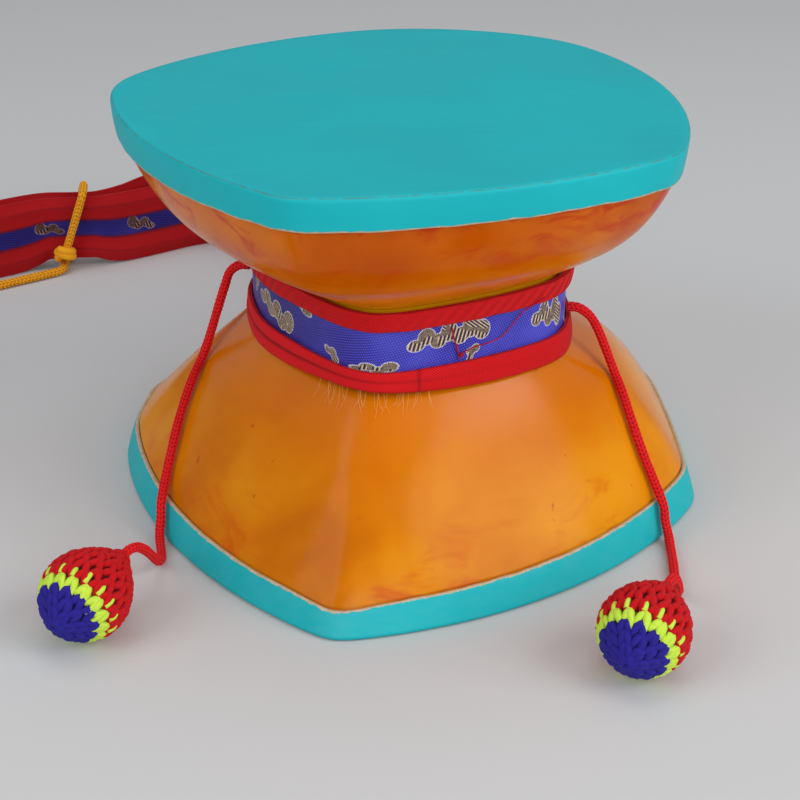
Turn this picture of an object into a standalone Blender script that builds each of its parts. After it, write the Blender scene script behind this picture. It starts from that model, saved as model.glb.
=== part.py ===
"""Skull-cap hand drum: two hollow resin bowls joined crown to crown, a painted
skin over each mouth, a brocade band with red edges round the waist, two braided
cords with crocheted beaters and a folded brocade hand strap tied with a cord.

Origin: centre of the lower drumhead's underside.  +Z up, front corner to -Y.
All driving sizes are in millimetres and are turned to metres when a mesh is made.
"""
import math

import bmesh
import bpy
from mathutils import Vector

MM = 0.001
TAU = 2.0 * math.pi
GAP = 0.3                  # clearance between pieces that touch

# ---- whole drum -----------------------------------------------------------
HEIGHT = 99.9              # underside of the lower head to the top of the upper head
SEGMENTS = 60              # steps round the bowls, heads and band

# ---- plan of a head: four bulged sides and four rounded corners ------------
# side directions (deg), distances from the axis, side radii, corner sharpness (1/mm)
LOWER_HEAD = dict(turn=(210.1, 307.5, 360.9, 455.4), reach=(63.7, 65.9, 74.1, 70.6),
                  bulge=(137.0, 118.0, 375.0, 115.0), corner=(0.63, 1.57, 0.05, 0.45),
                  blunt=(3.3, 153.0, 9.0))   # one corner cut blunter: depth, direction, half width
UPPER_HEAD = dict(turn=(208.1, 289.8, 368.8, 489.1), reach=(63.6, 65.5, 65.0, 66.4),
                  bulge=(121.0, 126.0, 107.0, 109.0), corner=(0.91, 0.78, 0.05, 0.37),
                  blunt=(0.0, 0.0, 9.0))
WAIST = dict(turn=(216.2, 298.5, 358.1, 451.2), reach=(33.9, 36.7, 39.7, 37.2),
             bulge=(1000.0, 132.0, 102.0, 53.0), corner=(0.16, 0.48, 0.07, 0.06),
             blunt=(0.0, 0.0, 9.0))
WAIST_AXIS = (0.55, 1.4)

# ---- drumheads --------------------------------------------------------------
SKIN = 1.1                 # thickness of the painted skin
SKIRT_LOWER = (8.96, 1.95, 74.6)   # fold-over height: mean, unevenness, direction of the deepest side
SKIRT_UPPER = (7.74, 0.24, 160.2)
CORNER_NOTCH = (1.09, 6.9)         # the lower skin is cut shorter at the front corner: depth, half width (deg)
LEAN_LOWER = 2.56          # the folded edge leans in by this much
LEAN_UPPER = 0.88
EDGE_ROUND = 1.0           # rounding between face and skirt

# ---- bowls ------------------------------------------------------------------
WALL = 4.6                 # wall thickness
SHOULDER_LOWER = 42.6      # level of each bowl's shoulder at the waist
SHOULDER_UPPER = 63.9
JOINT_LEVEL = 53.3         # where the two crowns meet
RISE_LOWER = (0.816, 3.45)         # straight share and power of the bowl's curve
RISE_UPPER = (0.506, 5.2)
SWELL_LOWER = (-0.374, 28.6)       # extra fullness: amount, direction
SWELL_UPPER = (0.101, 0.0)
SWELL_WIDTH = 51.6
INSET_LOWER = 1.6          # bowl surface inside the head's plan line
INSET_UPPER = 0.5
NECK_IN = 1.6              # the neck under the band is this much inside the band's face
CROWN = 5.0                # thickness of each crown plate
FLARE_POWER = 5.0          # how late the wall turns out to meet the skin's folded edge
BOWL_STEPS = 9
INNER_STEPS = 4

# ---- waist band -------------------------------------------------------------
BAND_THICK = 1.0
TAPE_THICK = 1.0
BLUE_LOW, BLUE_HIGH = 48.8, 58.7   # edges of the blue that shows between the tapes
TAPE_LOW, TAPE_HIGH = 42.7, 63.3   # outer edges of the tapes
TAPE_FLARE = 2.0                   # the outer edge of a tape stands out by this much
TAPE_LIFT = (1.8, 256.0, 26.0)     # the lower tape rides up over the waist's front corner

# ---- cords and beaters ------------------------------------------------------
CORD = 2.4                 # braided cord diameter
BEATER_WIDE, BEATER_LONG = 20.4, 25.6
TIE = 2.8                  # yellow cord diameter

# ---- hand strap -------------------------------------------------------------
RIBBON = 24.0              # ribbon width
RIBBON_THICK = 1.8
TIE_AT = -108.5            # where the tie goes round the two legs of the strap


def bump(theta, at_deg, width_deg):
    d = (theta - math.radians(at_deg) + math.pi) % TAU - math.pi
    return math.exp(-(d / math.radians(width_deg)) ** 2)


def plan(shape, theta):
    """Distance from the axis to a four-sided outline with bulged sides, in the
    direction theta.  The sides are arcs, and each corner is rounded."""
    rays = []
    for turn, reach, radius in zip(shape["turn"], shape["reach"], shape["bulge"]):
        centre = reach - radius
        along = centre * math.cos(theta - math.radians(turn))
        rays.append(along + math.sqrt(max(along * along - centre * centre + radius * radius, 1e-9)))
    turns = list(shape["turn"]) + [shape["turn"][0] + 360.0]
    total = weight = 0.0
    for i, sharp in enumerate(shape["corner"]):
        w = math.exp(3.0 * math.cos(theta - math.radians((turns[i] + turns[i + 1]) / 2.0)))
        total += w * sharp
        weight += w
    k = total / weight
    least = min(rays)
    depth, at, half = shape["blunt"]
    return least - math.log(sum(math.exp(-k * (r - least)) for r in rays)) / k - depth * bump(theta, at, half)


def front_corner(shape):
    return math.radians((shape["turn"][0] + shape["turn"][1]) / 2.0)


def ring(radius_of, level_of, start, axis=(0.0, 0.0), count=SEGMENTS):
    """A closed ring of points; radius and level are functions of the direction."""
    points = []
    for j in range(count):
        t = start + TAU * j / count
        r = radius_of(t)
        points.append(Vector((axis[0] + r * math.cos(t), axis[1] + r * math.sin(t), level_of(t))))
    return points


def loft(name, rings, material, closed=False, caps=True, sharp=35.0):
    """A solid through a row of closed rings with the same number of points."""
    bm = bmesh.new()
    rows = [[bm.verts.new(p * MM) for p in r] for r in rings]
    n = len(rows[0])
    pairs = list(zip(rows, rows[1:]))
    if closed:
        pairs.append((rows[-1], rows[0]))
    for a, b in pairs:
        for j in range(n):
            k = (j + 1) % n
            bm.faces.new((a[j], a[k], b[k], b[j]))
    if caps and not closed:
        bm.faces.new(list(reversed(rows[0])))
        bm.faces.new(rows[-1])
    bmesh.ops.recalc_face_normals(bm, faces=bm.faces[:])
    if bm.calc_volume(signed=True) < 0.0:
        bmesh.ops.reverse_faces(bm, faces=bm.faces[:])
    mesh = bpy.data.meshes.new(name)
    bm.to_mesh(mesh)
    bm.free()
    mesh.shade_smooth()
    mesh.set_sharp_from_angle(angle=math.radians(sharp))
    obj = bpy.data.objects.new(name, mesh)
    bpy.context.collection.objects.link(obj)
    mesh.materials.append(material)
    return obj


def paint(name, colour, roughness, metallic=0.0):
    m = bpy.data.materials.new(name)
    m.use_nodes = True
    shader = m.node_tree.nodes["Principled BSDF"]
    shader.inputs["Base Color"].default_value = (*colour, 1.0)
    shader.inputs["Roughness"].default_value = roughness
    shader.inputs["Metallic"].default_value = metallic
    return m


# ---- surfaces ---------------------------------------------------------------
def skirt_lower(t):
    mean, wave, at = SKIRT_LOWER
    depth, half = CORNER_NOTCH
    corner = math.degrees(front_corner(LOWER_HEAD))
    return mean + wave * math.cos(t - math.radians(at)) - depth * bump(t, corner, half)


def skirt_upper(t):
    mean, wave, at = SKIRT_UPPER
    return mean + wave * math.cos(t - math.radians(at))


class Bowl:
    """One bowl, from its shoulder at the waist (u = 0) to its mouth (u = 1).
    side is -1 for the lower bowl and +1 for the upper one."""

    def __init__(self, head, shoulder, face, side, rise, swell, inset, skirt, lean):
        self.head, self.shoulder, self.face, self.side = head, shoulder, face, side
        self.rise, self.swell, self.inset, self.skirt, self.lean = rise, swell, inset, skirt, lean
        self.flares, self.edges = {}, {}

    def point(self, t, u, inward=0.0, crown=0.0, flared=True):
        waist = plan(WAIST, t) - crown
        wx, wy = WAIST_AXIS[0] + waist * math.cos(t), WAIST_AXIS[1] + waist * math.sin(t)
        rim = plan(self.head, t) - self.inset - inward
        share = self.rise[0] + self.swell[0] * bump(t, self.swell[1], SWELL_WIDTH)
        g = share * u + (1.0 - share) * u ** self.rise[1]
        top = self.shoulder + self.side * crown * 0.62
        mouth = self.face - self.side * 3.0
        out = self.flare(t) * (u / self.edge(t)) ** FLARE_POWER if flared else 0.0
        return Vector((wx + (rim * math.cos(t) - wx) * u + out * math.cos(t),
                       wy + (rim * math.sin(t) - wy) * u + out * math.sin(t), top + (mouth - top) * g))

    def flare(self, t):
        """How far the wall turns out at the skin's folded edge, so that the skin lies on it."""
        if t not in self.flares:
            p = self.point(t, self.edge(t), flared=False)
            self.flares[t] = self.skin_radius(t, self.skirt(t)) - SKIN - 0.12 - math.hypot(p.x, p.y)
        return self.flares[t]

    def edge(self, t):
        """u at which the bowl goes under the skin's folded edge."""
        if t not in self.edges:
            level = self.face - self.side * (self.skirt(t) + 0.45)
            lo, hi = 0.3, 1.0
            for _ in range(40):
                mid = (lo + hi) / 2.0
                if (self.point(t, mid, flared=False).z - level) * self.side < 0.0:
                    lo = mid
                else:
                    hi = mid
            self.edges[t] = lo
        return self.edges[t]

    def skin_radius(self, t, depth):
        """Outer radius of the skin at a depth behind its face."""
        r = plan(self.head, t)
        return r - self.lean * max(0.0, depth - EDGE_ROUND) / (self.skirt(t) - EDGE_ROUND)

    def level(self, depth):
        return self.face - self.side * depth

    def rings(self, start):
        side = self.side
        out = []
        neck = lambda t: plan(WAIST, t) - NECK_IN
        joint = JOINT_LEVEL + side * GAP / 2.0
        out.append(ring(neck, lambda t: joint, start, WAIST_AXIS))
        out.append(ring(neck, lambda t: self.shoulder - side * 0.25, start, WAIST_AXIS))
        for i in range(BOWL_STEPS + 1):
            s = i / BOWL_STEPS
            row = []
            for j in range(SEGMENTS):
                t = start + TAU * j / SEGMENTS
                row.append(self.point(t, self.edge(t) * (1.0 - (1.0 - s) ** 1.5)))
            out.append(row)
        under = SKIN + GAP
        out.append(ring(lambda t: self.skin_radius(t, self.skirt(t)) - under - 0.1,
                        lambda t: self.level(self.skirt(t) + 0.35), start))
        out.append(ring(lambda t: self.skin_radius(t, 2.2) - under - 0.1,
                        lambda t: self.level(2.2), start))
        out.append(ring(lambda t: plan(self.head, t) - under - 1.2,
                        lambda t: self.level(SKIN + GAP), start))
        for i in range(INNER_STEPS + 1):
            s = 1.0 - i / INNER_STEPS
            u = 1.0 - (1.0 - s) ** 1.5
            row = []
            for j in range(SEGMENTS):
                t = start + TAU * j / SEGMENTS
                p = self.point(t, u * self.edge(t) if i else 1.0, inward=WALL, crown=WALL + NECK_IN, flared=i > 0)
                if i == 0:
                    p.z = self.level(SKIN + GAP)
                row.append(p)
            out.append(row)
        out.append(ring(lambda t: plan(WAIST, t) - NECK_IN - WALL - 0.4,
                        lambda t: joint + side * CROWN, start, WAIST_AXIS))
        return out


LOWER = Bowl(LOWER_HEAD, SHOULDER_LOWER, 0.0, -1.0, RISE_LOWER, SWELL_LOWER, INSET_LOWER, skirt_lower, LEAN_LOWER)
UPPER = Bowl(UPPER_HEAD, SHOULDER_UPPER, HEIGHT, 1.0, RISE_UPPER, SWELL_UPPER, INSET_UPPER, skirt_upper, LEAN_UPPER)


def drumhead(name, bowl, material):
    start = front_corner(bowl.head)
    flat = lambda d: (lambda t: bowl.level(d))
    full = lambda t: bowl.skirt(t)
    rings = [
        ring(lambda t: plan(bowl.head, t) - EDGE_ROUND, flat(0.0), start),
        ring(lambda t: plan(bowl.head, t) - 0.25 * EDGE_ROUND, flat(0.3 * EDGE_ROUND), start),
        ring(lambda t: plan(bowl.head, t), flat(EDGE_ROUND), start),
        ring(lambda t: bowl.skin_radius(t, full(t)), lambda t: bowl.level(full(t)), start),
        ring(lambda t: bowl.skin_radius(t, full(t)) - SKIN, lambda t: bowl.level(full(t)), start),
        ring(lambda t: bowl.skin_radius(t, 2.2) - SKIN, flat(2.2), start),
        ring(lambda t: plan(bowl.head, t) - SKIN - 0.9, flat(SKIN), start),
    ]
    return loft(name, rings, material)


def band_ring(name, profile, material, count=SEGMENTS):
    """A ring round the waist; profile gives (stand-out, level function) corners."""
    start = front_corner(WAIST)
    rings = [ring(lambda t, o=o: plan(WAIST, t) + o, z, start, WAIST_AXIS, count) for o, z in profile]
    return loft(name, rings, material, closed=True)


# ---- cords ------------------------------------------------------------------
def smooth_through(points, spacing):
    """Evenly spaced points on a smooth curve through a route's own points."""
    pts = [Vector(p) for p in points]
    pts = [pts[0] * 2.0 - pts[1]] + pts + [pts[-1] * 2.0 - pts[-2]]
    dense = []
    for i in range(1, len(pts) - 2):
        p0, p1, p2, p3 = pts[i - 1], pts[i], pts[i + 1], pts[i + 2]
        a, b, c = ((p1 - p0).length ** 0.5, (p2 - p1).length ** 0.5, (p3 - p2).length ** 0.5)
        m1 = (p2 - p1) - (p2 - p0) * (b / (a + b)) + (p1 - p0) * (b / a)
        m2 = (p2 - p1) - (p3 - p1) * (b / (b + c)) + (p3 - p2) * (b / c)
        for j in range(24):
            t = j / 24.0
            dense.append(p1 * (2 * t ** 3 - 3 * t ** 2 + 1) + m1 * (t ** 3 - 2 * t ** 2 + t)
                         + p2 * (-2 * t ** 3 + 3 * t ** 2) + m2 * (t ** 3 - t ** 2))
    dense.append(pts[-2])
    total = sum((q - p).length for p, q in zip(dense, dense[1:]))
    count = max(4, int(round(total / spacing)))
    out, walked, k = [dense[0]], 0.0, 0
    for i in range(1, count):
        goal = total * i / count
        while walked + (dense[k + 1] - dense[k]).length < goal:
            walked += (dense[k + 1] - dense[k]).length
            k += 1
        step = (dense[k + 1] - dense[k]).length
        out.append(dense[k].lerp(dense[k + 1], (goal - walked) / step))
    out.append(dense[-1])
    return out


def tube(name, route, diameter, material, spacing=2.0):
    curve = bpy.data.curves.new(name, "CURVE")
    curve.dimensions = "3D"
    curve.bevel_depth = diameter / 2.0 * MM
    curve.bevel_resolution = 2
    curve.use_fill_caps = True
    points = smooth_through(route, diameter * spacing)
    spline = curve.splines.new("POLY")
    spline.points.add(len(points) - 1)
    for p, q in zip(spline.points, points):
        p.co = (q.x * MM, q.y * MM, q.z * MM, 1.0)
    curve.materials.append(material)
    obj = bpy.data.objects.new(name, curve)
    bpy.context.collection.objects.link(obj)
    return obj


def waist_point(at_deg, out, level):
    t = math.radians(at_deg)
    r = plan(WAIST, t) + out
    return Vector((WAIST_AXIS[0] + r * math.cos(t), WAIST_AXIS[1] + r * math.sin(t), level))


def over_bowl(at_deg, u, lift):
    """A point lifted off the lower bowl's outer surface."""
    t, e = math.radians(at_deg), 1e-3
    p = LOWER.point(t, u)
    side = LOWER.point(t + e, u) - LOWER.point(t - e, u)
    down = LOWER.point(t, min(u + e, 1.0)) - LOWER.point(t, u - e)
    normal = side.cross(down)
    normal.normalize()
    if normal.z < 0.0:
        normal.negate()
    return p + normal * lift


def beside_skirt(at_deg, depth, lift):
    t = math.radians(at_deg)
    r = LOWER.skin_radius(t, depth) + lift
    return Vector((r * math.cos(t), r * math.sin(t), depth))


LIFT = CORD / 2.0 + GAP
FLOOR = CORD / 2.0 + 0.05


def left_direction(u):
    return 202.8 - 62.6 * max(0.97 - u, 0.0) ** 1.3


def right_direction(u):
    return 337.8 + 12.2 * (max(0.92 - u, 0.0) / 0.56) ** 2.4


# where each beater lies: centre on the floor and the heading of its axis
BEATER_LEFT = dict(x=-67.8, y=-70.6, heading=-118.0)
BEATER_RIGHT = dict(x=52.0, y=-84.6, heading=-116.0)
BEATER_TILT = -10.0        # the ball leans on its blunt end, so the cord end is up
RISE_RUN = 18.0            # length over which a cord rises off the floor to its beater


def beater_axis(place):
    h, e = math.radians(place["heading"]), math.radians(BEATER_TILT)
    return Vector((math.cos(h) * math.cos(e), math.sin(h) * math.cos(e), math.sin(e)))


def beater_radius(s):
    """Radius of a beater, s from 0 at the cord end to 1 at the far end."""
    full = BEATER_WIDE / 2.0
    s = min(max(s, 0.0), 1.0)
    egg = math.sin(math.pi * s ** 1.22) ** 0.62
    return full * max(egg, 0.0)


def beater_centre(place):
    """Centre of the ball, set so that its lowest point is on the floor."""
    axis = beater_axis(place)
    flat = math.sqrt(1.0 - axis.z ** 2)
    low = min((s - 0.5) * BEATER_LONG * axis.z - beater_radius(s) * flat for s in [i / 200.0 for i in range(201)])
    return Vector((place["x"], place["y"], 0.05 - low))


def beater(name, place, material, sides=16, steps=10):
    axis, centre = beater_axis(place), beater_centre(place)
    across = axis.cross(Vector((0.0, 0.0, 1.0))).normalized()
    up = across.cross(axis).normalized()
    rings = []
    for i in range(steps + 1):
        s = 0.02 + 0.96 * (0.5 - 0.5 * math.cos(math.pi * i / steps))
        row = []
        for j in range(sides):
            a = TAU * (j + 0.5) / sides
            r = beater_radius(s) / math.cos(math.pi / sides) ** 0.5
            row.append(centre + axis * ((s - 0.5) * BEATER_LONG) + (across * math.cos(a) + up * math.sin(a)) * r)
        rings.append(row)
    low = min(p.z for r in rings for p in r)
    for r in rings:
        for p in r:
            p.z -= low
    return loft(name, rings, material, sharp=60.0)


def beater_pole(place):
    return beater_centre(place) - beater_axis(place) * (BEATER_LONG * 0.48 + GAP + 0.1)


def rise_to(place, come_from):
    """The end of a cord: it turns from its heading on the floor and rises into the
    beater's cord end."""
    pole = beater_pole(place)
    here = pole - beater_axis(place) * 2.4
    points, steps, top = [pole, here.copy()], 6, here.z
    for i in range(steps):
        s, e = (i + 0.5) / steps, (i + 1.0) / steps
        h = math.radians(place["heading"] + (come_from - place["heading"]) * s * s * (3.0 - 2.0 * s))
        here = here - Vector((math.cos(h), math.sin(h), 0.0)) * (RISE_RUN / steps)
        here.z = FLOOR + (top - FLOOR) * (0.5 + 0.5 * math.cos(math.pi * e))
        points.append(here.copy())
    return points[::-1]


def cord_left_route():
    pts = [waist_point(168.0, GAP + 0.4, 55.7), waist_point(168.0, 3.2, 55.5), waist_point(167.8, 5.7, 53.6),
           waist_point(167.5, 7.3, 49.6)]
    for u in (0.36, 0.46, 0.56, 0.66, 0.76, 0.86):
        pts.append(over_bowl(left_direction(u), u, LIFT + 0.15))
    pts += [beside_skirt(204.4, 8.2, LIFT + 0.6), beside_skirt(206.5, 5.0, LIFT + 0.6)]
    pts += [Vector((-57.6, -31.7, 2.4))]
    return pts + rise_to(BEATER_LEFT, -92.0)


def cord_right_route():
    pts = [waist_point(348.5, GAP + 0.45, 51.3), waist_point(348.8, 3.3, 51.0), waist_point(350.0, 6.0, 48.8),
           waist_point(351.5, 8.0, 45.2)]
    for u in (0.36, 0.46, 0.56, 0.66, 0.76, 0.86):
        pts.append(over_bowl(right_direction(u), u, LIFT + 0.15))
    pts += [beside_skirt(336.0, 8.2, LIFT + 0.6), beside_skirt(335.2, 5.0, LIFT + 0.6)]
    pts += [Vector((64.3, -31.0, 2.3)), Vector((64.3, -35.5, FLOOR)), Vector((64.0, -42.0, FLOOR)),
            Vector((63.5, -49.0, FLOOR))]
    return pts + rise_to(BEATER_RIGHT, -95.0)


# ---- hand strap: one ribbon on edge.  It leaves the back of the waist, comes down to
# the floor, runs round to the left, turns back on itself and returns to the waist.
RISE = ((0.2, 48.0, 51.5), (-0.6, 58.0, 47.0), (-1.6, 68.0, 38.7), (-2.8, 78.0, 28.7), (-4.2, 88.0, 19.4),
        (-6.6, 98.0, 13.8), (-11.5, 112.0, 12.1))          # up to the waist's back
FRONT_LEG = ((-20.0, 133.0), (-33.0, 155.0), (-47.0, 171.0), (-60.0, 176.5), (-69.0, 174.0), (-84.0, 163.5),
             (-94.0, 157.0), (-101.0, 153.6), (-109.0, 152.8), (-118.0, 151.0), (-128.0, 145.0), (-140.0, 136.5),
             (-152.0, 129.0))
TURN_BACK = ((-159.5, 125.4), (-162.0, 127.6), (-160.2, 130.4))
REAR_LEG = ((-152.0, 135.0), (-140.0, 142.8), (-128.0, 151.3), (-118.0, 156.6), (-109.0, 157.6), (-101.0, 158.6),
            (-93.5, 165.0), (-86.0, 176.0), (-74.0, 186.0), (-58.0, 186.0), (-42.0, 176.0), (-27.0, 158.0),
            (-13.5, 133.0))
LEVEL = 0.1 + RIBBON / 2.0


def strap_route():
    back = waist_point(90.0, TAPE_FLARE + GAP, 53.4)
    pts = [Vector((back.x - 0.6, back.y, 53.4))] + [Vector(p) for p in RISE]
    pts += [Vector((x, y, LEVEL)) for x, y in FRONT_LEG + TURN_BACK + REAR_LEG]
    pts += [Vector((x + 4.6, y + 1.0, z)) for x, y, z in reversed(RISE)]
    return pts + [Vector((back.x + 4.2, back.y - 0.1, 53.4))]


def hand_strap(name, material):
    path = smooth_through(strap_route(), 4.6)
    last = len(path) - 1
    rings = []
    for i, p in enumerate(path):
        a, b = path[max(i - 1, 0)], path[min(i + 1, last)]
        run = Vector((b.x - a.x, b.y - a.y, 0.0)).normalized()
        across = Vector((-run.y, run.x, 0.0)) * (RIBBON_THICK / 2.0)
        wide = RIBBON * min(1.0, 0.62 + 0.38 * min(i, last - i) / 8.0)
        low, top = p.z - wide / 2.0, p.z + wide / 2.0
        if p.z < LEVEL + 0.3:
            low = 0.1 + (TIE + 0.4) * min(1.0, 1.9 * math.exp(-((p.x - TIE_AT) / 9.5) ** 2))
            top = 0.1 + RIBBON
        foot, head = Vector((p.x, p.y, low)), Vector((p.x, p.y, top))
        rings.append([foot - across, foot + across, head + across, head - across])
    return loft(name, rings, material, sharp=50.0)


def tie_route():
    """Once round both legs of the strap, slanting, with a tail that runs out over the floor."""
    front = smooth_through([Vector((x, y, 0.0)) for x, y in FRONT_LEG], 0.5)
    rear = smooth_through([Vector((x, y, 0.0)) for x, y in REAR_LEG], 0.5)
    near = min(range(len(front)), key=lambda i: abs(front[i].x - TIE_AT))
    here = front[near]
    run = (front[near + 1] - front[near - 1]).normalized()
    across = Vector((run.y, -run.x, 0.0))          # from the rear leg to the front one
    if across.y > 0.0:
        across.negate()
    back = min(rear, key=lambda q: abs((q - here).dot(run)))
    bundle = (here - back).dot(across) + RIBBON_THICK
    out = bundle / 2.0 + TIE / 2.0 + 0.9
    low, high = TIE / 2.0 + 0.06, RIBBON + 0.1 + TIE / 2.0 + 0.6
    turn = TIE / 2.0 + 0.6                         # bend radius of the cord at the bundle's edges
    base = (here + back) / 2.0
    loop = [(out, 6.0)]
    for cx, cz, first in ((out - turn, high - turn, 0.0), (turn - out, high - turn, 90.0),
                          (turn - out, low + turn, 180.0)):
        loop += [(cx + turn * math.cos(math.radians(first + d)), cz + turn * math.sin(math.radians(first + d)))
                 for d in (0.0, 30.0, 60.0, 90.0)]
    loop += [(0.0, low), (out * 0.8, low), (out + 3.4, low)]
    pts = []
    for o, level in loop:
        lean = 3.4 - 8.6 * (level - low) / (high - low) if o > 0.0 else -5.2 + 6.4 * (high - level) / (high - low)
        if level <= low + 0.01:
            lean = 1.2 + 1.6 * (o + out) / (2.0 * out)
        pts.append(base + across * o + run * lean + Vector((0.0, 0.0, level)))
    end = pts[-1]
    pts += [end + Vector((-5.4, -4.6, 0.0)), end + Vector((-15.0, -11.5, 0.0)),
            end + Vector((-26.0, -19.5, 0.0)), end + Vector((-35.0, -30.0, 0.0))]
    return pts


def build():
    for obj in list(bpy.data.objects):
        bpy.data.objects.remove(obj, do_unlink=True)

    amber = paint("amber_resin", (0.78, 0.33, 0.03), 0.22)
    teal = paint("teal_paint", (0.02, 0.40, 0.45), 0.5)
    blue = paint("blue_brocade", (0.06, 0.07, 0.55), 0.6)
    red = paint("red_twill", (0.62, 0.01, 0.02), 0.75)
    red_cord = paint("red_cord", (0.62, 0.01, 0.02), 0.7)
    crochet = paint("red_crochet", (0.60, 0.01, 0.02), 0.85)
    yellow = paint("yellow_cord", (0.80, 0.34, 0.01), 0.7)

    loft("shell_lower", LOWER.rings(front_corner(LOWER_HEAD)), amber)
    loft("shell_upper", UPPER.rings(front_corner(UPPER_HEAD)), amber)
    drumhead("drumhead_lower", LOWER, teal)
    drumhead("drumhead_upper", UPPER, teal)

    lift, at, wide = TAPE_LIFT
    low = lambda t: TAPE_LOW + lift * bump(t, at, wide)
    const = lambda z: (lambda t: z)
    band_ring("waist_band", [(-BAND_THICK, const(TAPE_LOW + 2.6)), (0.0, const(TAPE_LOW + 2.6)),
                             (0.0, const(TAPE_HIGH - 1.2)), (-BAND_THICK, const(TAPE_HIGH - 1.2))], blue)
    band_ring("waist_binding_lower",
              [(GAP, const(BLUE_LOW)), (GAP, const(TAPE_LOW + 2.9)), (TAPE_FLARE - TAPE_THICK, low),
               (TAPE_FLARE, low), (TAPE_FLARE * 0.8, lambda t: (low(t) + BLUE_LOW) / 2.0),
               (GAP + TAPE_THICK, const(BLUE_LOW))], red)
    band_ring("waist_binding_upper",
              [(GAP, const(BLUE_HIGH)), (GAP + TAPE_THICK, const(BLUE_HIGH)), (TAPE_FLARE, const(TAPE_HIGH - 0.8)),
               (TAPE_FLARE - 0.2, const(TAPE_HIGH)), (GAP, const(TAPE_HIGH))], red)

    tube("cord_left", cord_left_route(), CORD, red_cord)
    tube("cord_right", cord_right_route(), CORD, red_cord)
    beater("beater_left", BEATER_LEFT, crochet)
    beater("beater_right", BEATER_RIGHT, crochet)
    hand_strap("hand_strap", blue)
    tube("strap_tie", tie_route(), TIE, yellow, spacing=0.9)


build()
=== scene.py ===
import math

import bpy
import numpy as np
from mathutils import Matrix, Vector


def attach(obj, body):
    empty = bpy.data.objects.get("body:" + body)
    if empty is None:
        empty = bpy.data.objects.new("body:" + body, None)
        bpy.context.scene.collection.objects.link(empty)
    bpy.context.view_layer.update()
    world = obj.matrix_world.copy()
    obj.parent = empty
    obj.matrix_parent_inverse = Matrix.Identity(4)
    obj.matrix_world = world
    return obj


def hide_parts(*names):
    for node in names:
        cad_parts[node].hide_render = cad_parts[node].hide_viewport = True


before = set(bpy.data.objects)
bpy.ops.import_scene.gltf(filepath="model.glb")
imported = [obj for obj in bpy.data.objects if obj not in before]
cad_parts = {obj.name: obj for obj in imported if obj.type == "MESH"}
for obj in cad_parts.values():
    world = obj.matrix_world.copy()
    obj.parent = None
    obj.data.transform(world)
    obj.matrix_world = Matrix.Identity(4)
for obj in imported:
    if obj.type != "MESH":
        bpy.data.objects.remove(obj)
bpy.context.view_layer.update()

MM = 0.001
TAU = 2.0 * math.pi
rad = math.radians

# ============================================================ sizes, as in the CAD (mm)
HEIGHT = 99.9
LOWER_HEAD = dict(turn=(210.1, 307.5, 360.9, 455.4), reach=(63.7, 65.9, 74.1, 70.6),
                  bulge=(137.0, 118.0, 375.0, 115.0), corner=(0.63, 1.57, 0.05, 0.45), blunt=(3.3, 153.0, 9.0))
UPPER_HEAD = dict(turn=(208.1, 289.8, 368.8, 489.1), reach=(63.6, 65.5, 65.0, 66.4),
                  bulge=(121.0, 126.0, 107.0, 109.0), corner=(0.91, 0.78, 0.05, 0.37), blunt=(0.0, 0.0, 9.0))
WAIST = dict(turn=(216.2, 298.5, 358.1, 451.2), reach=(33.9, 36.7, 39.7, 37.2),
             bulge=(1000.0, 132.0, 102.0, 53.0), corner=(0.16, 0.48, 0.07, 0.06), blunt=(0.0, 0.0, 9.0))
WAIST_AXIS = (0.55, 1.4)
SKIN = 1.1
SKIRT_LOWER = (8.96, 1.95, 74.6)
SKIRT_UPPER = (7.74, 0.24, 160.2)
CORNER_NOTCH = (1.09, 6.9)
LEAN_LOWER, LEAN_UPPER = 2.56, 0.88
EDGE_ROUND = 1.0
WALL = 4.6
SHOULDER_LOWER, SHOULDER_UPPER, JOINT_LEVEL = 42.6, 63.9, 53.3
RISE_LOWER, RISE_UPPER = (0.816, 3.45), (0.506, 5.2)
SWELL_LOWER, SWELL_UPPER, SWELL_WIDTH = (-0.374, 28.6), (0.101, 0.0), 51.6
INSET_LOWER, INSET_UPPER = 1.6, 0.5
NECK_IN, CROWN, FLARE_POWER = 1.6, 5.0, 5.0
BAND_THICK, TAPE_THICK = 1.0, 1.0
BLUE_LOW, BLUE_HIGH, TAPE_LOW, TAPE_HIGH = 48.8, 58.7, 42.7, 63.3
TAPE_FLARE, TAPE_LIFT = 2.0, (1.8, 256.0, 26.0)
CORD, TIE = 2.4, 2.8
GAP = 0.3
BEATER_WIDE, BEATER_LONG, BEATER_TILT, RISE_RUN = 20.4, 25.6, -10.0, 18.0
BEATER_LEFT = dict(x=-67.8, y=-70.6, heading=-118.0)
BEATER_RIGHT = dict(x=52.0, y=-84.6, heading=-116.0)
RIBBON, RIBBON_THICK, TIE_AT = 24.0, 1.8, -108.5


def bump_at(theta, at_deg, width_deg):
    d = np.mod(theta - rad(at_deg) + math.pi, TAU) - math.pi
    return np.exp(-(d / rad(width_deg)) ** 2)


def plan(shape, theta):
    theta = np.asarray(theta, float)
    rays = []
    for turn, reach, radius in zip(shape["turn"], shape["reach"], shape["bulge"]):
        centre = reach - radius
        along = centre * np.cos(theta - rad(turn))
        rays.append(along + np.sqrt(np.maximum(along * along - centre * centre + radius * radius, 1e-9)))
    rays = np.array(rays)
    turns = list(shape["turn"]) + [shape["turn"][0] + 360.0]
    total = weight = 0.0
    for i, sharp in enumerate(shape["corner"]):
        w = np.exp(3.0 * np.cos(theta - rad((turns[i] + turns[i + 1]) / 2.0)))
        total = total + w * sharp
        weight = weight + w
    k = total / weight
    least = rays.min(0)
    depth, at, half = shape["blunt"]
    return least - np.log(np.exp(-k * (rays - least)).sum(0)) / k - depth * bump_at(theta, at, half)


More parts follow.
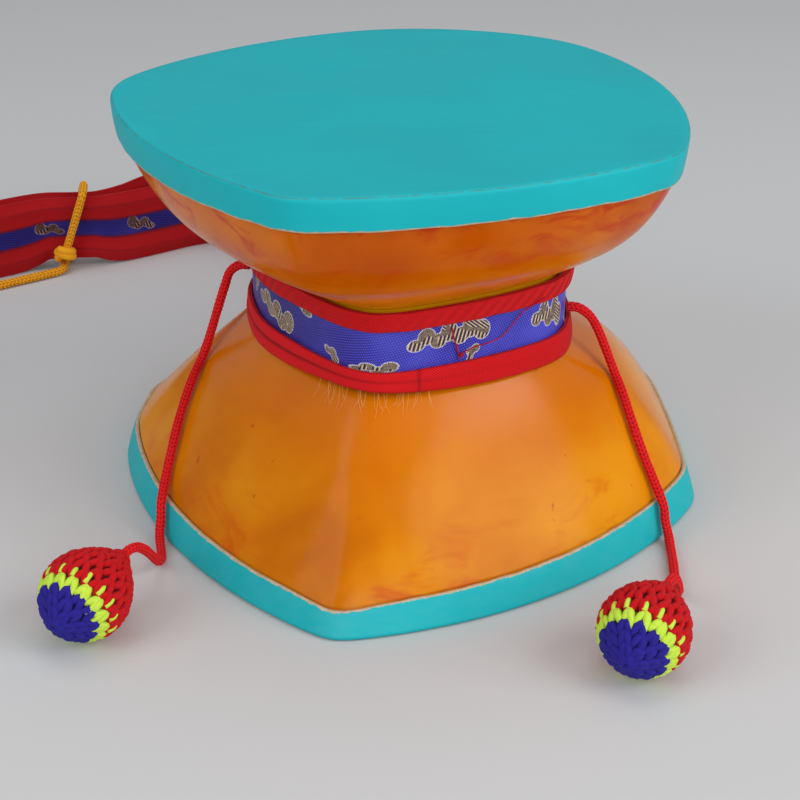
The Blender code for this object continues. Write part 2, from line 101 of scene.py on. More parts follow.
def front_corner(shape):
    return rad((shape["turn"][0] + shape["turn"][1]) / 2.0)


# ============================================================ camera, floor and light
scene = bpy.context.scene
scene.view_settings.view_transform = "Standard"


def make_camera():
    data = bpy.data.cameras.new("camera")
    data.sensor_width = 36.0
    data.lens = 81.0
    data.shift_x = (400.0 - 399.23) / 800.0
    data.shift_y = (397.21 - 400.0) / 800.0
    data.clip_start, data.clip_end = 0.02, 20.0
    cam = bpy.data.objects.new("camera", data)
    cam.location = (-0.22 * MM, -407.72 * MM, 216.13 * MM)
    cam.rotation_euler = (rad(90.0 - 25.24), 0.0, 0.0)
    scene.collection.objects.link(cam)
    scene.camera = cam


make_camera()


def material(name):
    m = bpy.data.materials.new(name)
    m.use_nodes = True
    return m, m.node_tree, m.node_tree.nodes["Principled BSDF"]


class Nodes:
    """Short calls for building node trees."""

    def __init__(self, tree):
        self.tree = tree

    def node(self, kind, **inputs):
        n = self.tree.nodes.new(kind)
        for key, value in inputs.items():
            self.put(n.inputs[key.replace("_", " ")], value)
        return n

    def put(self, socket, value):
        if isinstance(value, bpy.types.NodeSocket):
            self.tree.links.new(value, socket)
        elif value is not None:
            socket.default_value = value

    def math(self, op, a, b=None, c=None, clamp=False):
        n = self.tree.nodes.new("ShaderNodeMath")
        n.operation = op
        n.use_clamp = clamp
        for i, v in enumerate((a, b, c)):
            if v is not None:
                self.put(n.inputs[i], v)
        return n.outputs[0]

    def mix(self, factor, a, b, blend="MIX"):
        n = self.tree.nodes.new("ShaderNodeMix")
        n.data_type = "RGBA"
        n.blend_type = blend
        self.put(n.inputs[0], factor)
        self.put(n.inputs[6], a if isinstance(a, bpy.types.NodeSocket) else (*a[:3], 1.0))
        self.put(n.inputs[7], b if isinstance(b, bpy.types.NodeSocket) else (*b[:3], 1.0))
        return n.outputs[2]

    def attr(self, name):
        n = self.tree.nodes.new("ShaderNodeAttribute")
        n.attribute_name = name
        return n.outputs["Fac"]

    def position(self):
        return self.tree.nodes.new("ShaderNodeTexCoord").outputs["Object"]

    def separate(self, vector):
        n = self.tree.nodes.new("ShaderNodeSeparateXYZ")
        self.put(n.inputs[0], vector)
        return n.outputs

    def combine(self, x, y, z=0.0):
        n = self.tree.nodes.new("ShaderNodeCombineXYZ")
        for i, v in enumerate((x, y, z)):
            self.put(n.inputs[i], v)
        return n.outputs[0]

    def noise(self, vector, scale, detail=2.0, rough=0.5, distortion=0.0, colour=False):
        n = self.tree.nodes.new("ShaderNodeTexNoise")
        self.put(n.inputs["Vector"], vector)
        n.inputs["Scale"].default_value = scale
        n.inputs["Detail"].default_value = detail
        n.inputs["Roughness"].default_value = rough
        n.inputs["Distortion"].default_value = distortion
        return n.outputs["Color" if colour else "Fac"]

    def voronoi(self, vector, scale, feature="F1", output="Distance"):
        n = self.tree.nodes.new("ShaderNodeTexVoronoi")
        n.feature = feature
        self.put(n.inputs["Vector"], vector)
        n.inputs["Scale"].default_value = scale
        return n.outputs[output]

    def mapping(self, vector, scale=(1.0, 1.0, 1.0), location=(0.0, 0.0, 0.0), rotation=(0.0, 0.0, 0.0)):
        n = self.tree.nodes.new("ShaderNodeMapping")
        self.put(n.inputs["Vector"], vector)
        n.inputs["Scale"].default_value = scale
        n.inputs["Location"].default_value = location
        n.inputs["Rotation"].default_value = rotation
        return n.outputs[0]

    def ramp(self, factor, stops, interpolation="LINEAR"):
        n = self.tree.nodes.new("ShaderNodeValToRGB")
        self.put(n.inputs[0], factor)
        r = n.color_ramp
        r.interpolation = interpolation
        while len(r.elements) < len(stops):
            r.elements.new(0.5)
        for e, (at, c) in zip(r.elements, stops):
            e.position = at
            e.color = (*c, 1.0) if hasattr(c, "__len__") else (c, c, c, 1.0)
        return n.outputs[0]

    def step(self, value, low, high, out_low=0.0, out_high=1.0, smooth=True):
        n = self.tree.nodes.new("ShaderNodeMapRange")
        n.interpolation_type = "SMOOTHSTEP" if smooth else "LINEAR"
        for i, v in enumerate((value, low, high, out_low, out_high)):
            self.put(n.inputs[i], v)
        return n.outputs[0]

    def bump(self, height, distance, strength=1.0, normal=None):
        n = self.tree.nodes.new("ShaderNodeBump")
        self.put(n.inputs["Height"], height)
        n.inputs["Distance"].default_value = distance
        n.inputs["Strength"].default_value = strength
        if normal is not None:
            self.put(n.inputs["Normal"], normal)
        return n.outputs[0]


def floor_and_light():
    bpy.ops.mesh.primitive_plane_add(size=6.0, location=(0.0, 0.0, -0.00005))
    floor = bpy.context.object
    floor.name = "floor"
    m, tree, shader = material("floor")
    shader.inputs["Base Color"].default_value = (0.60, 0.60, 0.60, 1.0)
    shader.inputs["Roughness"].default_value = 0.8
    floor.data.materials.append(m)

    world = bpy.data.worlds.new("studio")
    scene.world = world
    world.use_nodes = True
    background = world.node_tree.nodes["Background"]
    background.inputs["Color"].default_value = (0.86, 0.90, 0.96, 1.0)
    background.inputs["Strength"].default_value = 0.34

    def area(name, place, aim, size, power, colour=(1.0, 1.0, 1.0)):
        data = bpy.data.lights.new(name, "AREA")
        data.shape = "RECTANGLE"
        data.size, data.size_y = size
        data.energy = power
        data.color = colour
        lamp = bpy.data.objects.new(name, data)
        lamp.location = place
        lamp.rotation_euler = (Vector(aim) - Vector(place)).to_track_quat("-Z", "Y").to_euler()
        scene.collection.objects.link(lamp)

    area("window_left", (-0.85, -0.60, 0.70), (0.0, 0.0, 0.04), (0.80, 0.80), 4.7, (0.96, 0.98, 1.0))
    area("window_right", (0.90, -0.50, 0.65), (0.0, 0.0, 0.04), (0.80, 0.80), 6.9, (1.0, 0.99, 0.97))
    area("front", (0.25, -1.25, 0.50), (0.0, 0.0, 0.05), (1.0, 0.6), 5.5)
    area("top", (0.05, 0.25, 1.3), (0.0, 0.0, 0.05), (1.2, 0.9), 3.5)


floor_and_light()


# ============================================================ mesh helpers
def finish_mesh(name, verts, faces, mat, attributes=None, smooth=True, sharp=None, body="root"):
    mesh = bpy.data.meshes.new(name)
    mesh.from_pydata([tuple(v) for v in (np.asarray(verts) * MM)], [], faces)
    if attributes:
        for key, values in attributes.items():
            layer = mesh.attributes.new(key, "FLOAT", "POINT")
            layer.data.foreach_set("value", np.asarray(values, np.float32).ravel())
    mesh.update()
    if smooth:
        mesh.shade_smooth()
        if sharp is not None:
            mesh.set_sharp_from_angle(angle=rad(sharp))
    mesh.materials.append(mat)
    obj = bpy.data.objects.new(name, mesh)
    scene.collection.objects.link(obj)
    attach(obj, body)
    return obj


def lattice(rows, cols, closed_cols=True, closed_rows=False, offset=0):
    """Quad faces of a grid of rows x cols points."""
    faces = []
    last_r = rows if closed_rows else rows - 1
    last_c = cols if closed_cols else cols - 1
    for i in range(last_r):
        a, b = i * cols, ((i + 1) % rows) * cols
        for j in range(last_c):
            k = (j + 1) % cols
            faces.append((offset + a + j, offset + a + k, offset + b + k, offset + b + j))
    return faces


def grid_piece(name, points, mat, attributes=None, closed_cols=True, closed_rows=False, caps=False, flip=False, **kw):
    """points is (rows, cols, 3) in mm."""
    rows, cols = points.shape[:2]
    faces = lattice(rows, cols, closed_cols, closed_rows)
    if caps:
        faces.append(tuple(reversed(range(cols))))
        faces.append(tuple(range((rows - 1) * cols, rows * cols)))
    if flip:
        faces = [tuple(reversed(f)) for f in faces]
    return finish_mesh(name, points.reshape(-1, 3), faces, mat, attributes, **kw)


def soft_noise(x, y, seed, octaves=3, base=1.0):
    """Smooth, repeatable unevenness from -1 to 1: a sum of sines with fixed phases."""
    rng = np.random.RandomState(seed)
    out = 0.0
    for o in range(octaves):
        for _ in range(4):
            f = base * 1.9 ** o
            a = rng.uniform(0, TAU)
            p = rng.uniform(0, TAU)
            out = out + np.sin((x * math.cos(a) + y * math.sin(a)) * f * rng.uniform(0.7, 1.4) + p) / 1.9 ** o
    return out / 6.0


def loop_noise(theta, seed, low=2, high=14):
    """Unevenness round a closed loop."""
    rng = np.random.RandomState(seed)
    out = 0.0
    for n in range(low, high + 1):
        out = out + rng.normal() * np.sin(n * theta + rng.uniform(0, TAU)) / n ** 0.5
    return out / 2.6


# ============================================================ surfaces of the drum
def skirt_lower(t):
    mean, wave, at = SKIRT_LOWER
    depth, half = CORNER_NOTCH
    return mean + wave * np.cos(t - rad(at)) - depth * bump_at(t, math.degrees(front_corner(LOWER_HEAD)), half)


def skirt_upper(t):
    mean, wave, at = SKIRT_UPPER
    return mean + wave * np.cos(t - rad(at))


class Bowl:
    def __init__(self, head, shoulder, face, side, rise, swell, inset, skirt, lean):
        self.head, self.shoulder, self.face, self.side = head, shoulder, face, side
        self.rise, self.swell, self.inset, self.skirt, self.lean = rise, swell, inset, skirt, lean

    def point(self, t, u, inward=0.0, crown=0.0, flared=True):
        t = np.asarray(t, float)
        waist = plan(WAIST, t) - crown
        wx, wy = WAIST_AXIS[0] + waist * np.cos(t), WAIST_AXIS[1] + waist * np.sin(t)
        rim = plan(self.head, t) - self.inset - inward
        share = self.rise[0] + self.swell[0] * bump_at(t, self.swell[1], SWELL_WIDTH)
        g = share * u + (1.0 - share) * u ** self.rise[1]
        top = self.shoulder + self.side * crown * 0.62
        mouth = self.face - self.side * 3.0
        out = self.flare(t) * (u / self.edge(t)) ** FLARE_POWER if flared else 0.0
        return np.stack([wx + (rim * np.cos(t) - wx) * u + out * np.cos(t), wy + (rim * np.sin(t) - wy) * u + out * np.sin(t),
                         top + (mouth - top) * g + 0.0 * t], -1)

    def flare(self, t):
        p = self.point(t, self.edge(t), flared=False)
        return self.skin_radius(t, self.skirt(t)) - SKIN - 0.12 - np.hypot(p[..., 0], p[..., 1])

    def edge(self, t, extra=0.45):
        t = np.asarray(t, float)
        level = self.face - self.side * (self.skirt(t) + extra)
        lo, hi = np.full(t.shape, 0.3), np.full(t.shape, 1.0)
        for _ in range(40):
            mid = (lo + hi) / 2.0
            short = (self.point(t, mid, flared=False)[..., 2] - level) * self.side < 0.0
            lo, hi = np.where(short, mid, lo), np.where(short, hi, mid)
        return lo

    def skin_radius(self, t, depth):
        return plan(self.head, t) - self.lean * np.maximum(0.0, depth - EDGE_ROUND) / (self.skirt(t) - EDGE_ROUND)

    def level(self, depth):
        return self.face - self.side * depth


LOWER = Bowl(LOWER_HEAD, SHOULDER_LOWER, 0.0, -1.0, RISE_LOWER, SWELL_LOWER, INSET_LOWER, skirt_lower, LEAN_LOWER)
UPPER = Bowl(UPPER_HEAD, SHOULDER_UPPER, HEIGHT, 1.0, RISE_UPPER, SWELL_UPPER, INSET_UPPER, skirt_upper, LEAN_UPPER)


def polar(radius, level, t, axis=(0.0, 0.0)):
    radius = radius + 0.0 * t
    return np.stack([axis[0] + radius * np.cos(t), axis[1] + radius * np.sin(t), level + 0.0 * t], -1)


# ============================================================ materials
def resin_material(name, deep, middle, pale, blush, crown, flecks):
    """Cast amber resin: deep orange with paler and redder clouds, a few red specks, redder
    toward the skins and of another tint (crown) toward the waist."""
    m, tree, shader = material(name)
    n = Nodes(tree)
    p = n.position()
    cloud = n.noise(p, 30.0, 2.0, 0.5, 0.5)
    fine = n.noise(p, 150.0, 3.0, 0.55, 0.3)
    base = n.ramp(n.math("ADD", n.math("MULTIPLY", cloud, 0.85), n.math("MULTIPLY", fine, 0.15)),
                  [(0.32, deep), (0.50, middle), (0.70, pale)])
    share = n.attr("share")                  # 0 at the waist to 1 at the skin
    base = n.mix(n.step(share, 0.12, 0.86, 0.78, 0.0), base, crown)
    streak = n.noise(n.mapping(p, (42.0 + 26.0 * flecks, 42.0 + 26.0 * flecks, 120.0)), 1.0, 3.0, 0.6, 1.1)
    rim = n.step(share, 0.62, 1.0)
    red = n.math("MULTIPLY", n.step(streak, 0.50, 0.74 - 0.06 * flecks),
                 n.math("ADD", 0.10, n.math("MULTIPLY", rim, 0.70 + 0.10 * flecks)), clamp=True)
    base = n.mix(red, base, blush)
    speck = n.step(n.noise(p, 240.0, 2.0, 0.6), 0.715, 0.76)
    base = n.mix(n.math("MULTIPLY", speck, 0.65), base, (0.50, 0.035, 0.002))
    tree.links.new(base, shader.inputs["Base Color"])
    shader.inputs["Subsurface Weight"].default_value = 0.25
    shader.inputs["Subsurface Radius"].default_value = (1.0, 0.38, 0.08)
    shader.inputs["Subsurface Scale"].default_value = 0.006
    tree.links.new(n.step(share, 0.08, 0.45, 0.34, 0.11), shader.inputs["Specular IOR Level"])
    tree.links.new(n.step(fine, 0.3, 0.8, 0.15, 0.25), shader.inputs["Roughness"])
    hand = n.math("ADD", n.noise(p, 26.0, 2.0, 0.5), n.math("MULTIPLY", n.noise(p, 900.0, 2.0, 0.5), 0.010))
    tree.links.new(n.bump(hand, 0.0016, 0.45), shader.inputs["Normal"])
    return m


def teal_material():
    """Painted hide: flat teal with faint brush marks, brown wear along the edge of the face
    and the bare cream hide on the cut edge."""
    m, tree, shader = material("teal_paint")
    n = Nodes(tree)
    p = n.position()
    brush = n.noise(n.mapping(p, (30.0, 260.0, 260.0), rotation=(0.0, 0.0, 0.25)), 1.0, 4.0, 0.6)
    soft = n.noise(p, 24.0, 2.0, 0.5)
    base = n.mix(n.step(soft, 0.3, 0.7), (0.006, 0.405, 0.450), (0.008, 0.440, 0.485))
    base = n.mix(n.math("MULTIPLY", n.step(brush, 0.45, 0.75), 0.16), base, (0.026, 0.51, 0.555))
    grain = n.noise(p, 2300.0, 3.0, 0.6)
    wear = n.math("MULTIPLY", n.math("POWER", n.attr("wear"), 3.0), n.step(n.noise(p, 420.0, 3.0, 0.65), 0.30, 0.66))
    base = n.mix(n.math("MULTIPLY", wear, 0.88), base, (0.105, 0.130, 0.090))
    streak = n.math("MULTIPLY", n.attr("front"), n.step(brush, 0.3, 0.7))
    base = n.mix(n.math("MULTIPLY", streak, 0.16), base, (0.22, 0.46, 0.44))
    ragged = n.math("ADD", n.attr("edge_mm"), n.math("MULTIPLY", n.math("SUBTRACT", n.noise(p, 620.0, 3.0, 0.65), 0.5), 0.9))
    bare = n.step(ragged, 0.04, 0.18, 1.0, 0.0)
    hide = n.mix(n.noise(p, 700.0, 3.0, 0.6), (0.36, 0.24, 0.13), (0.74, 0.60, 0.42))
    tree.links.new(n.mix(bare, base, hide), shader.inputs["Base Color"])
    tree.links.new(n.step(soft, 0.2, 0.8, 0.44, 0.56), shader.inputs["Roughness"])
    shader.inputs["Specular IOR Level"].default_value = 0.16
    height = n.math("ADD", n.math("MULTIPLY", grain, 0.25), n.math("MULTIPLY", brush, 0.75))
    tree.links.new(n.bump(height, 0.00010, 0.55), shader.inputs["Normal"])
    return m


def weave_height(n, along, across, pitch, slant):
    """Height of a fine weave: short floats in slanting rows; along and across in mm."""
    a = n.math("MULTIPLY", n.math("ADD", along, n.math("MULTIPLY", across, slant)), TAU / pitch)
    b = n.math("MULTIPLY", n.math("SUBTRACT", across, n.math("MULTIPLY", along, slant * 0.4)), TAU / pitch)
    return n.math("MULTIPLY", n.math("ADD", n.math("SINE", a), 1.0), n.math("ADD", n.math("SINE", b), 1.0))


def brocade(n, along, across):
    """Blue satin ground of fine dots with figures: gold and navy hatched strokes inside a
    broken outline of pale beads.  Returns colour and height."""
    weave = weave_height(n, along, across, 0.62, 0.5)
    p = n.position()
    drift = n.noise(p, 60.0, 2.0, 0.5)
    # painted shade: the ground is dark in the low spots of the weave and bright on the raised floats
    ground = n.mix(n.step(weave, 0.3, 2.4), (0.014, 0.012, 0.24), (0.090, 0.098, 0.82))
    ground = n.mix(n.step(drift, 0.35, 0.7, 0.0, 0.35), ground, (0.12, 0.13, 0.90))
    # painted shade: the ground is darkened toward the band's left side, where less light falls
    ground = n.mix(n.math("MULTIPLY", n.attr("painted_shade"), 0.90), ground, (0.016, 0.010, 0.14))
    d = n.attr("figure")                     # distance into a figure, mm; negative outside
    turn = n.math("MULTIPLY", n.step(n.noise(p, 210.0, 1.0, 0.5), 0.42, 0.58), 1.5)
    stroke = n.math("SINE", n.math("MULTIPLY", n.math("ADD", along, n.math("MULTIPLY", across, n.math("SUBTRACT", 1.2, turn))), TAU / 1.02))
    beads = n.math("SINE", n.math("MULTIPLY", n.math("SUBTRACT", across, along), TAU / 0.46))
    gold = n.mix(n.noise(p, 1500.0, 2.0, 0.6), (0.20, 0.115, 0.05), (0.66, 0.50, 0.28))
    inner = n.mix(n.step(stroke, -0.12, 0.22), (0.012, 0.010, 0.075), gold)
    spark = n.math("MULTIPLY", n.step(stroke, 0.50, 0.80), n.step(beads, -0.5, 0.3))
    inner = n.mix(spark, inner, (0.84, 0.72, 0.46))
    inside = n.step(d, 0.02, 0.14)
    colour = n.mix(inside, ground, inner)
    edge = n.math("MULTIPLY", n.math("MULTIPLY", n.step(d, -0.16, -0.04), n.step(d, 0.10, 0.20, 1.0, 0.0)),
                  n.step(beads, -0.45, 0.2))
    colour = n.mix(edge, colour, (1.0, 0.97, 0.86))
    height = n.math("ADD", n.math("MULTIPLY", weave, 0.22),
                    n.math("ADD", n.math("MULTIPLY", inside, n.math("ADD", n.math("MULTIPLY", stroke, 0.3), 0.6)),
                           n.math("MULTIPLY", edge, 0.8)))
    return colour, height


def twill(n, along, across, lean, pitch=0.62):
    """Red twill: slanting ribs.  Returns colour and height."""
    a = n.math("MULTIPLY", n.math("ADD", along, n.math("MULTIPLY", across, lean)), TAU / pitch)
    rib = n.math("ADD", n.math("MULTIPLY", n.math("SINE", a), 0.5), 0.5)
    p = n.position()
    fuzz = n.noise(p, 3200.0, 2.0, 0.6)
    # painted shade: each rib is dark in its groove and bright on its crest
    colour = n.mix(rib, (0.30, 0.001, 0.003), (0.92, 0.009, 0.014))
    colour = n.mix(n.math("MULTIPLY", n.step(fuzz, 0.55, 0.8), 0.22), colour, (1.0, 0.06, 0.05))
    return colour, n.math("ADD", rib, n.math("MULTIPLY", fuzz, 0.3))


def cloth_finish(tree, n, shader, colour, height, distance, rough=0.72, sheen=0.02):
    tree.links.new(colour, shader.inputs["Base Color"])
    shader.inputs["Roughness"].default_value = rough
    shader.inputs["Specular IOR Level"].default_value = 0.16
    shader.inputs["Sheen Weight"].default_value = sheen
    shader.inputs["Sheen Roughness"].default_value = 0.5
    tree.links.new(n.bump(height, distance, 0.8), shader.inputs["Normal"])


def brocade_material():
    m, tree, shader = material("blue_brocade")
    n = Nodes(tree)
    colour, height = brocade(n, n.attr("along"), n.attr("across"))
    cloth_finish(tree, n, shader, colour, height, 0.00012, 0.40, 0.0)
    shader.inputs["Specular IOR Level"].default_value = 0.35
    return m


def twill_material(name, lean, pitch):
    m, tree, shader = material(name)
    n = Nodes(tree)
    colour, height = twill(n, n.attr("along"), n.attr("across"), lean, pitch)
    smooth = n.attr("smooth_part")
    colour = n.mix(n.math("MULTIPLY", smooth, 0.55), colour, (0.62, 0.004, 0.010))
    # painted shade: darker in the middle crease, along the folded edges and at the seam's overlap
    colour = n.mix(n.attr("crease_shade"), colour, (0.17, 0.001, 0.004))
    cloth_finish(tree, n, shader, colour, n.math("MULTIPLY", height, n.math("SUBTRACT", 1.0, n.math("MULTIPLY", smooth, 0.7))),
                 0.00016)
    return m


def strap_material():
    m, tree, shader = material("strap_brocade")
    n = Nodes(tree)
    along, across = n.attr("along"), n.attr("across")
    blue, blue_h = brocade(n, along, across)
    red, red_h = twill(n, along, across, 1.0)
    edge = n.step(n.math("ABSOLUTE", n.attr("from_middle")), 2.9, 3.3)
    # painted shade: the strap's blue and red are multiplied darker, for the strap lying in shade behind the drum
    colour = n.mix(1.0, n.mix(edge, blue, red), n.mix(edge, (0.46, 0.32, 0.36), (0.70, 0.74, 0.80)), "MULTIPLY")
    height = n.math("ADD", n.math("MULTIPLY", n.math("SUBTRACT", 1.0, edge), blue_h), n.math("MULTIPLY", edge, red_h))
    # painted shade in the strap's creases
    colour = n.mix(n.attr("crease_shade"), colour, (0.09, 0.002, 0.012))
    cloth_finish(tree, n, shader, colour, height, 0.00014, 0.62, 0.0)
    return m


def yarn_material(name, painted_shade, light, fuzz_colour, scale=2600.0):
    m, tree, shader = material(name)
    n = Nodes(tree)
    p = n.position()
    top = n.attr("top")
    fibre = n.noise(p, scale, 3.0, 0.65)
    # painted shade: the yarn goes to its darker colour where "top" is low, in the grooves between plaits, and to its
    # light colour on the plaits
    colour = n.mix(n.step(top, 0.05, 0.75), painted_shade, light)
    colour = n.mix(n.math("MULTIPLY", n.step(fibre, 0.5, 0.8), 0.4), colour, fuzz_colour)
    cloth_finish(tree, n, shader, colour, fibre, 0.00012, 0.70, 0.02)
    return m


def crochet_material():
    m, tree, shader = material("crochet")
    n = Nodes(tree)
    p = n.position()
    hue, top = n.attr("hue"), n.attr("top")
    fibre = n.noise(n.mapping(p, (1.0, 1.0, 1.0)), 2100.0, 4.0, 0.7)
    # painted shade: each yarn goes darker where "top" is low, in the gaps between stitches and on the inner ball, and
    # lighter on the stitch tops
    red = n.mix(top, (0.11, 0.001, 0.002), (0.56, 0.005, 0.009))
    green = n.mix(top, (0.20, 0.30, 0.02), (0.58, 0.80, 0.07))
    navy = n.mix(top, (0.004, 0.003, 0.05), (0.022, 0.016, 0.26))
    colour = n.mix(n.step(hue, 0.4, 0.6), red, green)
    colour = n.mix(n.step(hue, 1.4, 1.6), colour, navy)
    colour = n.mix(n.math("MULTIPLY", n.step(fibre, 0.52, 0.8), 0.28), colour, (0.95, 0.55, 0.5), "SOFT_LIGHT")
    cloth_finish(tree, n, shader, colour, fibre, 0.00032, 0.85, 0.03)
    return m


AMBER = resin_material("amber_resin", (0.55, 0.140, 0.0008), (0.68, 0.212, 0.0012), (0.78, 0.300, 0.006),
                       (0.60, 0.092, 0.0006), (0.66, 0.165, 0.0008), 0.0)
# the upper bowl's resin: painted deeper and redder than the lower bowl's, as painted shade under the upper head, with
# more red flecks
AMBER_SHADED = resin_material("amber_resin_shaded", (0.50, 0.078, 0.0004), (0.61, 0.125, 0.0006), (0.72, 0.190, 0.0012),
                            (0.50, 0.034, 0.0005), (0.93, 0.400, 0.0012), 1.0)
TEAL = teal_material()
BLUE = brocade_material()
RED_LOW = twill_material("red_twill_lower", 1.15, 0.66)
RED_HIGH = twill_material("red_twill_upper", -0.9, 0.55)
STRAP = strap_material()
RED_CORD = yarn_material("red_cord", (0.18, 0.001, 0.002), (0.78, 0.008, 0.012), (0.95, 0.06, 0.05))
YELLOW = yarn_material("yellow_cord", (0.30, 0.090, 0.002), (0.86, 0.36, 0.008), (0.95, 0.60, 0.10))
CROCHET = crochet_material()
THREAD = yarn_material("dark_red_thread", (0.20, 0.002, 0.01), (0.42, 0.004, 0.02), (0.6, 0.05, 0.06))
HAIR = yarn_material("pale_hair", (0.74, 0.46, 0.16), (0.92, 0.70, 0.36), (0.95, 0.82, 0.55))


# ============================================================ bowls
COLUMNS = 360


def shell(name, bowl, seed, node, mat):
    t = np.linspace(0.0, TAU, COLUMNS, endpoint=False)
    e = bowl.edge(t)
    joint = JOINT_LEVEL + bowl.side * GAP / 2.0
    rows = [polar(plan(WAIST, t) - NECK_IN, joint, t, WAIST_AXIS),
            polar(plan(WAIST, t) - NECK_IN, bowl.shoulder - bowl.side * 0.25, t, WAIST_AXIS)]
    shares = [0.0 * t, 0.0 * t]
    steps = 44
    for i in range(steps + 1):
        s = i / steps
        share = 1.0 - (1.0 - s) ** 1.5
        p = bowl.point(t, e * share)
        hand = 0.16 * soft_noise(p[:, 0] / 11.0, p[:, 1] / 11.0 + p[:, 2] / 13.0, seed) * math.sin(math.pi * min(s * 1.02, 1.0)) ** 0.5
        p[:, 0] += hand * np.cos(t)
        p[:, 1] += hand * np.sin(t)
        rows.append(p)
        shares.append(share + 0.0 * t)
    under = SKIN + GAP
    rows.append(polar(bowl.skin_radius(t, bowl.skirt(t)) - under - 0.1, bowl.level(bowl.skirt(t) + 0.35), t))
    rows.append(polar(bowl.skin_radius(t, 2.2 + 0.0 * t) - under - 0.1, bowl.level(2.2), t))
    rows.append(polar(plan(bowl.head, t) - under - 1.2, bowl.level(SKIN + GAP), t))
    inner = 12
    for i in range(inner + 1):
        s = 1.0 - i / inner
        u = 1.0 - (1.0 - s) ** 1.5
        p = bowl.point(t, u * e if i else 1.0 + 0.0 * t, inward=WALL, crown=WALL + NECK_IN, flared=i > 0)
        if i == 0:
            p[:, 2] = bowl.level(SKIN + GAP)
        rows.append(p)
    rows.append(polar(plan(WAIST, t) - NECK_IN - WALL - 0.4, joint + bowl.side * CROWN, t, WAIST_AXIS))
    while len(shares) < len(rows):
        shares.append(1.0 + 0.0 * t)
    obj = grid_piece(name, np.array(rows), mat, {"share": np.array(shares)}, caps=True, flip=bowl.side > 0, sharp=42.0)
    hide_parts(node)
    return obj


shell("bowl_lower", LOWER, 11, "shell_lower", AMBER)
shell("bowl_upper", UPPER, 23, "shell_upper", AMBER_SHADED)


# ============================================================ painted skins
def skin(name, bowl, seed, node, corner_deg):
    """A skin with a slightly drummy face, a rounded edge and a hand-cut lower edge."""
    t = np.linspace(0.0, TAU, 540, endpoint=False)
    outline = plan(bowl.head, t)
    full = bowl.skirt(t) + 0.14 * loop_noise(t, seed, 5, 60)
    bare = 0.22 if bowl.side > 0 else 0.0        # the upper skin shows more of its bare edge
    rows, wear, edge, front = [], [], [], []
    ahead = 0.45 + 0.55 * bump_at(t, corner_deg, 2.6) if bowl.side < 0 else 0.0 * t

    def add(radius, depth, w, e, f):
        rows.append(polar(radius, bowl.level(depth), t))
        wear.append(w + 0.0 * t)
        edge.append(e + 0.0 * t)
        front.append(f * ahead)

    flat = outline - EDGE_ROUND
    for f in (0.015, 0.08, 0.16, 0.25, 0.34, 0.43, 0.52, 0.61, 0.70, 0.78, 0.85, 0.90, 0.94, 0.965, 0.985):
        x, y = flat * f * np.cos(t), flat * f * np.sin(t)
        sink = 0.05 * (1.0 + soft_noise(x / 17.0, y / 17.0, seed + 5)) * (1.0 - f ** 6)
        add(flat * f, sink, 0.0, 50.0, 0.0)
    for k in range(7):
        a = k / 6.0 * math.pi / 2.0
        add(flat + EDGE_ROUND * math.sin(a), EDGE_ROUND * (1.0 - math.cos(a)), math.exp(-((k - 2.6) / 1.25) ** 2), 50.0, 0.2)
    for k in range(1, 17):
        s = k / 16.0
        depth = EDGE_ROUND + (full - EDGE_ROUND) * s
        swell = 0.10 * np.sin(math.pi * s) * (1.0 + loop_noise(t, seed + 9, 3, 24)) * (s < 1.0)
        radius = outline - bowl.lean * s + swell - (0.10 if k == 16 else 0.0)
        add(radius, depth, 0.0, full - depth - bare, 1.0)
    lip = outline - bowl.lean
    add(lip - 0.35, full + 0.10, 0.0, -0.2, 0.0)
    add(lip - SKIN + 0.3, full + 0.08, 0.0, -0.5, 0.0)
    add(lip - SKIN, full - 0.1, 0.0, -0.8, 0.0)
    add(plan(bowl.head, t) - bowl.lean * 0.2 - SKIN, 2.2, 0.0, 5.0, 0.0)
    add(plan(bowl.head, t) - SKIN - 0.9, SKIN, 0.0, 5.0, 0.0)
    obj = grid_piece(name, np.array(rows), TEAL, {"wear": np.array(wear), "edge_mm": np.array(edge), "front": np.array(front)},
                     caps=True, flip=bowl.side < 0, sharp=60.0)
    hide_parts(node)
    return obj


skin("skin_lower", LOWER, 31, "drumhead_lower", math.degrees(front_corner(LOWER_HEAD)))
skin("skin_upper", UPPER, 47, "drumhead_upper", math.degrees(front_corner(UPPER_HEAD)))


# ============================================================ waist band
def waist_ring(out, level, t):
    return polar(plan(WAIST, t) + out, level, t, WAIST_AXIS)


def arc_mm(t):
    """Length round the waist from the first direction given, mm."""
    p = waist_ring(0.0, 50.0, t)
    step = np.linalg.norm(np.roll(p, -1, 0) - p, axis=1)
    return np.concatenate([[0.0], np.cumsum(step)[:-1]])


# each figure of the brocade: direction (deg), level (mm), length, height, tilt (deg), petals
FIGURES = ((184.5, 55.4, 4.6, 3.0, 50.0, 3), (206.0, 53.2, 16.5, 5.4, -14.0, 6), (226.0, 58.6, 8.5, 2.6, -12.0, 3),
           (244.8, 50.4, 4.6, 2.8, -35.0, 3), (260.5, 49.4, 10.5, 2.4, 2.0, 4), (286.5, 55.6, 19.5, 5.8, 4.0, 7),
           (295.5, 50.2, 4.0, 2.6, 55.0, 3), (329.0, 54.6, 10.5, 6.6, -8.0, 5), (352.0, 51.5, 12.0, 3.6, 10.0, 5),
           (14.0, 56.0, 15.0, 4.8, -6.0, 6), (42.0, 51.0, 11.0, 3.8, 12.0, 5), (68.0, 56.5, 13.0, 4.2, -10.0, 5),
           (96.0, 51.0, 12.0, 4.0, 8.0, 5), (122.0, 56.2, 14.0, 4.6, -5.0, 6), (150.0, 51.5, 11.0, 3.8, 10.0, 5))


